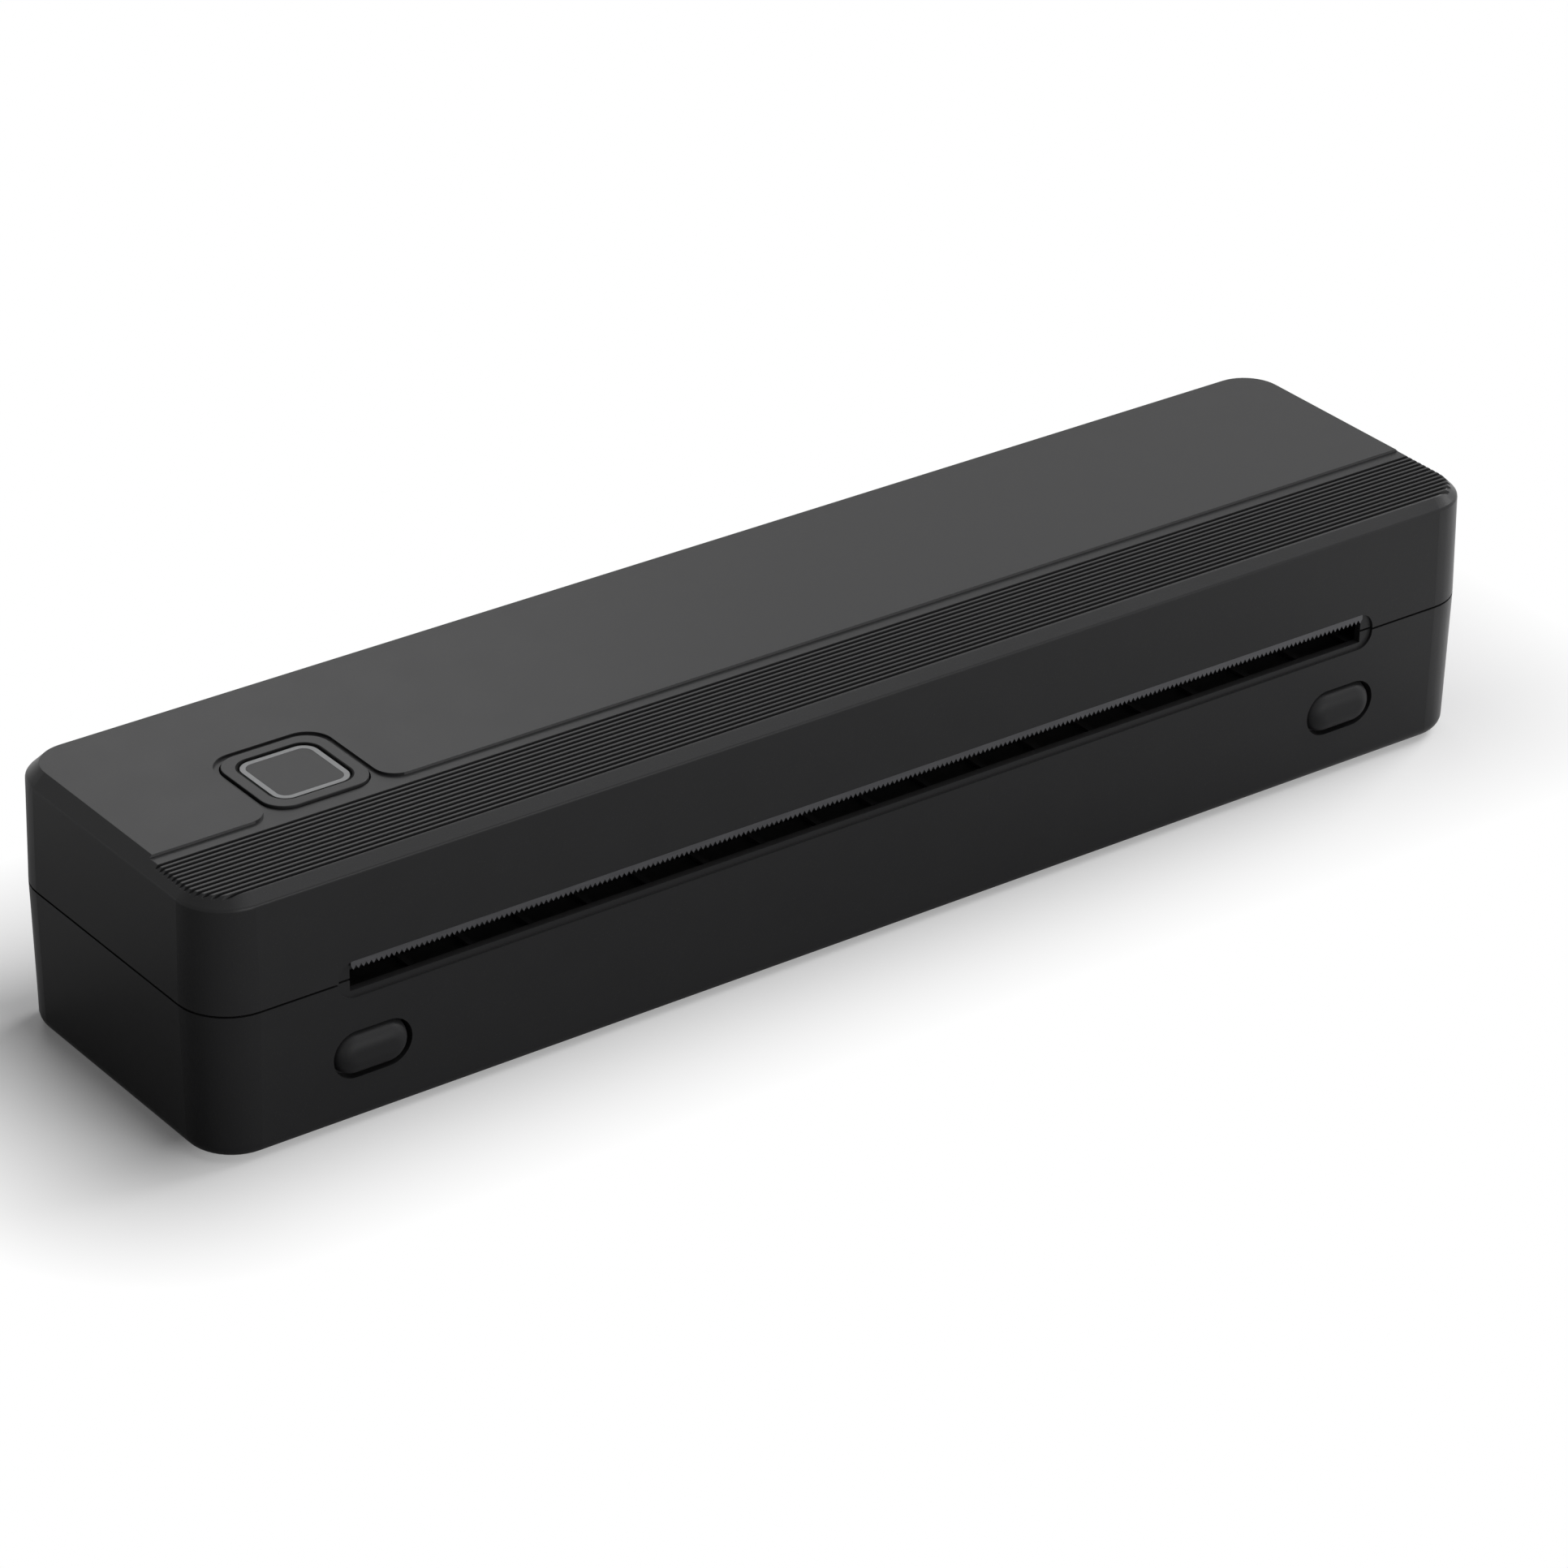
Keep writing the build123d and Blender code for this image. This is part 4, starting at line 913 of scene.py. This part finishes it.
@dataclass(frozen=True)
class CoilSpring:
    """Compression spring of round wire with closed ends."""

    name: str
    radius: float
    wire: float
    length: float
    turns: float
    closed_turns: float = 1.25
    wire_faces: int = 10
    turn_steps: int = 24
    fewest_steps: int = 3
    merge_share: float = 0.05

    def _run(self, start_z: float, start_turn: float, turns: float, rise: float) -> bpy.types.Object:
        """One run of the helix, open at both ends.

        Args:
            start_z: Height of its start.
            start_turn: Turns already made where it starts.
            turns: Turns that it makes.
            rise: Height that it gains.

        Returns:
            The run.
        """
        clear_selection()
        bpy.ops.mesh.primitive_circle_add(vertices=self.wire_faces, radius=self.wire / 2,
                                          fill_type="NOTHING",
                                          location=(self.radius - self.wire / 2, 0.0, start_z),
                                          rotation=(math.pi / 2, 0.0, 0.0))
        run = bpy.context.object
        settle(run, self.name)
        screw = run.modifiers.new("Coil", "SCREW")
        screw.axis = "Z"
        screw.angle = math.tau * turns
        screw.screw_offset = rise
        screw.steps = max(self.fewest_steps, round(self.turn_steps * turns))
        screw.render_steps = screw.steps
        screw.use_smooth_shade = True
        apply_modifiers(run)
        run.data.transform(Matrix.Rotation(math.tau * start_turn, 4, "Z"))
        return run

    def build(self) -> bpy.types.Object:
        """Builds the spring upright, its foot at the origin.

        Returns:
            The spring.
        """
        closed_rise = self.wire * self.closed_turns
        open_turns = self.turns - 2 * self.closed_turns
        foot = self._run(self.wire / 2, 0.0, self.closed_turns, closed_rise)
        open_start = self.wire / 2 + closed_rise
        open_rise = self.length - self.wire - 2 * closed_rise
        middle = self._run(open_start, self.closed_turns, open_turns, open_rise)
        head = self._run(open_start + open_rise, self.closed_turns + open_turns,
                         self.closed_turns, closed_rise)
        spring = join([foot, middle, head], self.name)
        bpy.ops.object.mode_set(mode="EDIT")
        bpy.ops.mesh.select_all(action="SELECT")
        bpy.ops.mesh.remove_doubles(threshold=self.wire * self.merge_share)
        bpy.ops.mesh.select_all(action="DESELECT")
        bpy.ops.mesh.select_mode(type="EDGE")
        bpy.ops.mesh.select_non_manifold(extend=False)
        bpy.ops.mesh.fill()
        bpy.ops.mesh.select_all(action="SELECT")
        bpy.ops.mesh.normals_make_consistent(inside=False)
        bpy.ops.object.mode_set(mode="OBJECT")
        return spring


@dataclass(frozen=True)
class Assembly:
    """Sub-assembly of CAD nodes, each with the slot of its finish."""

    dress: Dress = ()

    def build(self) -> None:
        """Dresses the nodes."""
        for node, slot in self.dress:
            dress_node(node, slot)


@dataclass(frozen=True)
class Case(Assembly):
    """Base and lid shells with what is fixed to them on the outside."""

    dress: Dress = (
        ("top_cover", "lid_plastic"),
        ("bottom_case", "case_plastic"),
        ("rubber_feet", "foot_rubber"),
        ("hinge_pins", "shaft_steel"),
        ("tear_bar", "tear_steel"),
    )


@dataclass(frozen=True)
class PowerKey(Assembly):
    """Square key with its light ring, switch and board."""

    dress: Dress = (
        ("power_key", "key_plastic"),
        ("light_ring", "ring_plastic"),
        ("key_plunger", "chip_black"),
        ("key_switch", "socket_steel"),
        ("key_board", "board_green"),
        ("key_board_screws", "screw_steel"),
        ("key_lights", "lamp_plastic"),
    )


@dataclass(frozen=True)
class PaperPath(Assembly):
    """Guides, platen and sensor."""

    dress: Dress = (
        ("lower_guide", "guide_plastic"),
        ("guide_screws", "screw_steel"),
        ("paper_sensor", "chip_black"),
        ("lid_frame", "frame_plastic"),
        ("frame_screws", "screw_steel"),
        ("platen_shaft", "shaft_steel"),
        ("platen_rubber", "roller_rubber"),
        ("platen_bushes", "bush_plastic"),
    )


@dataclass(frozen=True)
class PrintHead(Assembly):
    """Rocking head with its carrier, pivot and springs."""

    dress: Dress = (
        ("head_ceramic", "ceramic_white"),
        ("heat_sink", "sink_aluminium"),
        ("head_driver_cover", "chip_black"),
        ("head_pivot", "shaft_steel"),
    )
    spring_turns: float = 6.0
    spring_wire: float = 0.6 * MM

    def build(self) -> None:
        """Dresses the head and winds its springs."""
        super().build()
        low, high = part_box("head_springs")
        radius = (high[1] - low[1]) / 2
        pitch = (high[0] - low[0]) / 2 - radius
        middle_y = (high[1] + low[1]) / 2
        coil = CoilSpring("head_springs_wound", radius, self.spring_wire, high[2] - low[2],
                          self.spring_turns)
        first = coil.build()
        copies = [copy_at(first, (step * pitch, middle_y, low[2])) for step in (-1, 1)]
        first.data.transform(Matrix.Translation((0.0, middle_y, low[2])))
        wound = join([first] + copies, coil.name)
        finish_piece(wound, "spring_steel", "print_head", "head_springs")
        rock = joint_named("head_rock")
        rise = (rock["pos_m"][1] - low[1]) * math.sin(math.radians(max(rock["range_deg"])))
        1.0 - rise / (high[2] - low[2])
        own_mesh(wound)


@dataclass(frozen=True)
class Drive(Assembly):
    """Side plates, motor and gear train."""

    dress: Dress = (
        ("left_side_plate", "plate_steel"),
        ("right_side_plate", "plate_steel"),
        ("plate_screws", "screw_steel"),
        ("motor_screws", "screw_steel"),
        ("idler_post", "shaft_steel"),
        ("motor_shaft", "shaft_steel"),
        ("platen_gear", "gear_plastic"),
        ("idler_gear", "gear_plastic"),
        ("motor_pinion", "gear_plastic"),
        ("stepper_motor", "motor_can"),
        ("idler_clip", "spring_steel"),
    )


@dataclass(frozen=True)
class Electronics(Assembly):
    """Cells, main board and socket."""

    dress: Dress = (
        ("battery_cells", "cell_wrap"),
        ("battery_tray", "tray_plastic"),
        ("main_board", "board_green"),
        ("board_screws", "screw_steel"),
        ("board_chips", "chip_black"),
        ("board_coils", "coil_grey"),
        ("board_connectors", "connector_plastic"),
        ("usb_socket", "socket_steel"),
    )


@dataclass(frozen=True)
class Latches(Assembly):
    """Buttons, sliders and return springs at both ends."""

    dress: Dress = (
        ("left_release_button", "button_plastic"),
        ("left_latch_slider", "frame_plastic"),
        ("right_release_button", "button_plastic"),
        ("right_latch_slider", "frame_plastic"),
    )
    spring_turns: float = 5.0
    spring_wire: float = 0.5 * MM

    def _spring(self, end: End) -> None:
        """Winds the return spring of one latch.

        Args:
            end: Which end of the printer.
        """
        side = end.value
        node = f"{side}_latch_spring"
        low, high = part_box(node)
        radius = (high[0] - low[0]) / 2
        coil = CoilSpring(f"{node}_wound", radius, self.spring_wire, high[1] - low[1],
                          self.spring_turns).build()
        place = Matrix.Translation(((low[0] + high[0]) / 2, high[1], (low[2] + high[2]) / 2))
        coil.data.transform(place @ Matrix.Rotation(math.pi / 2, 4, "X"))
        finish_piece(coil, "spring_steel", f"{side}_release", node)
        press = f"{side}_release_press"
        1.0 - max(joint_named(press)["range_m"]) / (high[1] - low[1])
        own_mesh(coil)

    def build(self) -> None:
        """Dresses both latches and winds their springs."""
        super().build()
        for end in End:
            self._spring(end)


# --- Studio ---------------------------------------------------------------------------------------


@dataclass(frozen=True)
class Viewpoint:
    """Camera by its angles round a target."""

    azimuth: float = -36.564
    elevation: float = 28.559
    roll: float = 0.738
    distance: float = 1123.53 * MM
    target: Point = (-2.614 * MM, -9.127 * MM, 20.8 * MM)
    lens: float = 145.25
    sensor: float = 36.0
    near: float = 10.0 * MM

    def build(self) -> None:
        """Makes the camera."""
        azimuth = math.radians(self.azimuth)
        elevation = math.radians(self.elevation)
        level = math.cos(elevation)
        back = Vector((math.sin(azimuth) * level, -math.cos(azimuth) * level, math.sin(elevation)))
        right = (-back).cross(Vector((0.0, 0.0, 1.0))).normalized()
        up = right.cross(-back)
        roll = math.radians(self.roll)
        turned_right = math.cos(roll) * right + math.sin(roll) * up
        turned_up = math.cos(roll) * up - math.sin(roll) * right
        data = bpy.data.cameras.new("viewpoint")
        data.lens = self.lens
        data.sensor_width = self.sensor
        data.clip_start = self.near
        camera = bpy.data.objects.new("viewpoint", data)
        axes = Matrix((turned_right, turned_up, back)).transposed().to_4x4()
        camera.matrix_world = Matrix.Translation(Vector(self.target) + back * self.distance) @ axes
        bpy.context.collection.objects.link(camera)
        bpy.context.scene.camera = camera


@dataclass(frozen=True)
class Softbox:
    """Rectangular lamp aimed at a point, with its sizes in metres and its power in watts."""

    name: str
    place: Point
    aim: Point
    width: float
    height: float
    power: float

    def build(self) -> None:
        """Makes the lamp."""
        data = bpy.data.lights.new(self.name, "AREA")
        data.shape = "RECTANGLE"
        data.size = self.width
        data.size_y = self.height
        data.energy = self.power
        lamp = bpy.data.objects.new(self.name, data)
        lamp.location = self.place
        heading = Vector(self.aim) - Vector(self.place)
        lamp.rotation_euler = heading.to_track_quat("-Z", "Y").to_euler()
        bpy.context.collection.objects.link(lamp)


@dataclass(frozen=True)
class Floor:
    """Pale floor that keeps the printer's shadow and fades into a white surround, with painted shade where
    gloss shows it near the printer and painted light right of it.
    """

    half: float = 6.0
    seen_colour: Colour = (0.97, 0.97, 0.975)
    gloss_shade_colour: Colour = (0.45, 0.45, 0.455)
    dark_bounce: Colour = (0.20, 0.20, 0.205)
    bright_bounce: Colour = (0.62, 0.62, 0.62)
    bright_from: float = 0.13
    bright_to: float = 0.17
    shadow_share: float = 0.9
    shadow_reach: float = 45.0 * MM
    shadow_setback: float = 7.0 * MM
    shadow_inset: float = 8.5 * MM
    gloss_shade_share: float = 0.95
    gloss_shade_middle: tuple[float, float] = (-50.0 * MM, 20.0 * MM)
    gloss_shade_start: float = 90.0 * MM
    gloss_shade_end: float = 240.0 * MM
    gloss_shade_stretch: float = 0.45
    grain: float = 0.4 * MM
    grain_swing: float = 0.01

    def _material(self) -> bpy.types.Material:
        """Builds the floor's material.

        Returns:
            The material.
        """
        graph = Graph("studio_floor")
        x, y, _ = graph.axes()
        beside = x.size().over(CAD_BOX[1][0])
        along = (y - self.shadow_setback).size().over(CAD_BOX[1][1] - self.shadow_inset)
        near = graph.range((beside * beside + along * along).root(), 0.0, self.shadow_reach, 1.0, 0.0)
        # Painted shade: within this zone the floor seen in gloss takes a darker colour and less of the white.
        aside = x - self.gloss_shade_middle[0]
        ahead = y - self.gloss_shade_middle[1]
        out = (aside * aside * self.gloss_shade_stretch + ahead * ahead).root()
        gloss_shade = graph.range(out, self.gloss_shade_start, self.gloss_shade_end, self.gloss_shade_share, 0.0)
        camera, mirrored = graph.rays()
        grain = graph.noise(self.grain, Detail.SOFT)
        seen_tint = graph.mottled(grain, self.seen_colour, self.grain_swing, self.grain_swing)
        # Painted light: the floor's colour for bounced light is dark, and paler right of the printer, where
        # gloss also sees it white.
        bright = graph.range(x, self.bright_from, self.bright_to, 0.0, 1.0)
        bounce = graph.blend(bright, self.dark_bounce, self.bright_bounce)
        tint = graph.blend(mirrored, graph.blend(camera, bounce, seen_tint), self.gloss_shade_colour)
        ground = graph.out(graph.add("ShaderNodeBsdfDiffuse", {}, {"Color": tint}))
        white = graph.glow("ShaderNodeEmission", WHITE, 1.0)
        share = camera * (1.0 - near * self.shadow_share) + mirrored * (1.0 - gloss_shade * (1.0 - bright))
        graph.finish_mixed(share, ground, white)
        graph.owner.cycles.emission_sampling = "NONE"
        return graph.owner

    def build(self) -> None:
        """Lays the floor."""
        clear_selection()
        bpy.ops.mesh.primitive_plane_add(size=2 * self.half)
        floor = bpy.context.object
        settle(floor, "studio_floor")
        floor.data.materials.append(self._material())


@dataclass(frozen=True)
class Studio:
    """White surround, lamps, floor and camera."""

    room_level: float = 0.0
    lamps: tuple[Softbox, ...] = (
        Softbox("overhead", place=(0.7, -0.8, 2.0), aim=(0.0, 0.0, 0.03), width=1.5, height=1.2, power=9.0),
        Softbox("above", place=(0.3, 0.5, 2.0), aim=(0.0, 0.0, 0.03), width=1.5, height=1.2, power=5.0),
        Softbox("right_side", place=(1.8, 0.1, 1.3), aim=(0.0, 0.0, 0.03), width=1.2, height=1.0, power=29.0),
        Softbox("behind", place=(0.35, 1.0, 0.75), aim=(-0.08, 0.0, 0.05), width=0.5, height=0.4, power=0.8),
        Softbox("front_low", place=(0.2, -1.4, 0.3), aim=(0.0, 0.0, 0.02), width=1.2, height=0.4, power=6.5),
    )

    def _room(self) -> None:
        """Sets the surround: white where it is seen, directly or in gloss, and at its level as light."""
        graph = Graph("studio_room", room=True)
        camera, mirrored = graph.rays()
        light = graph.glow("ShaderNodeBackground", WHITE, self.room_level)
        white = graph.glow("ShaderNodeBackground", WHITE, 1.0)
        graph.finish_mixed(camera + mirrored, light, white)
        bpy.context.scene.world = graph.owner

    def build(self) -> None:
        """Sets up the studio."""
        self._room()
        Floor().build()
        for lamp in self.lamps:
            lamp.build()
        Viewpoint().build()
        bpy.context.scene.view_settings.view_transform = "Standard"


def main() -> None:
    """Builds everything in order."""
    logging.basicConfig(level=logging.INFO, format="%(name)s %(message)s")
    for part in (Case(), PowerKey(), PaperPath(), PrintHead(), Drive(), Electronics(), Latches(), Studio()):
        LOG.info("building %s", type(part).__name__)
        part.build()


if __name__ == "__main__":
    main()
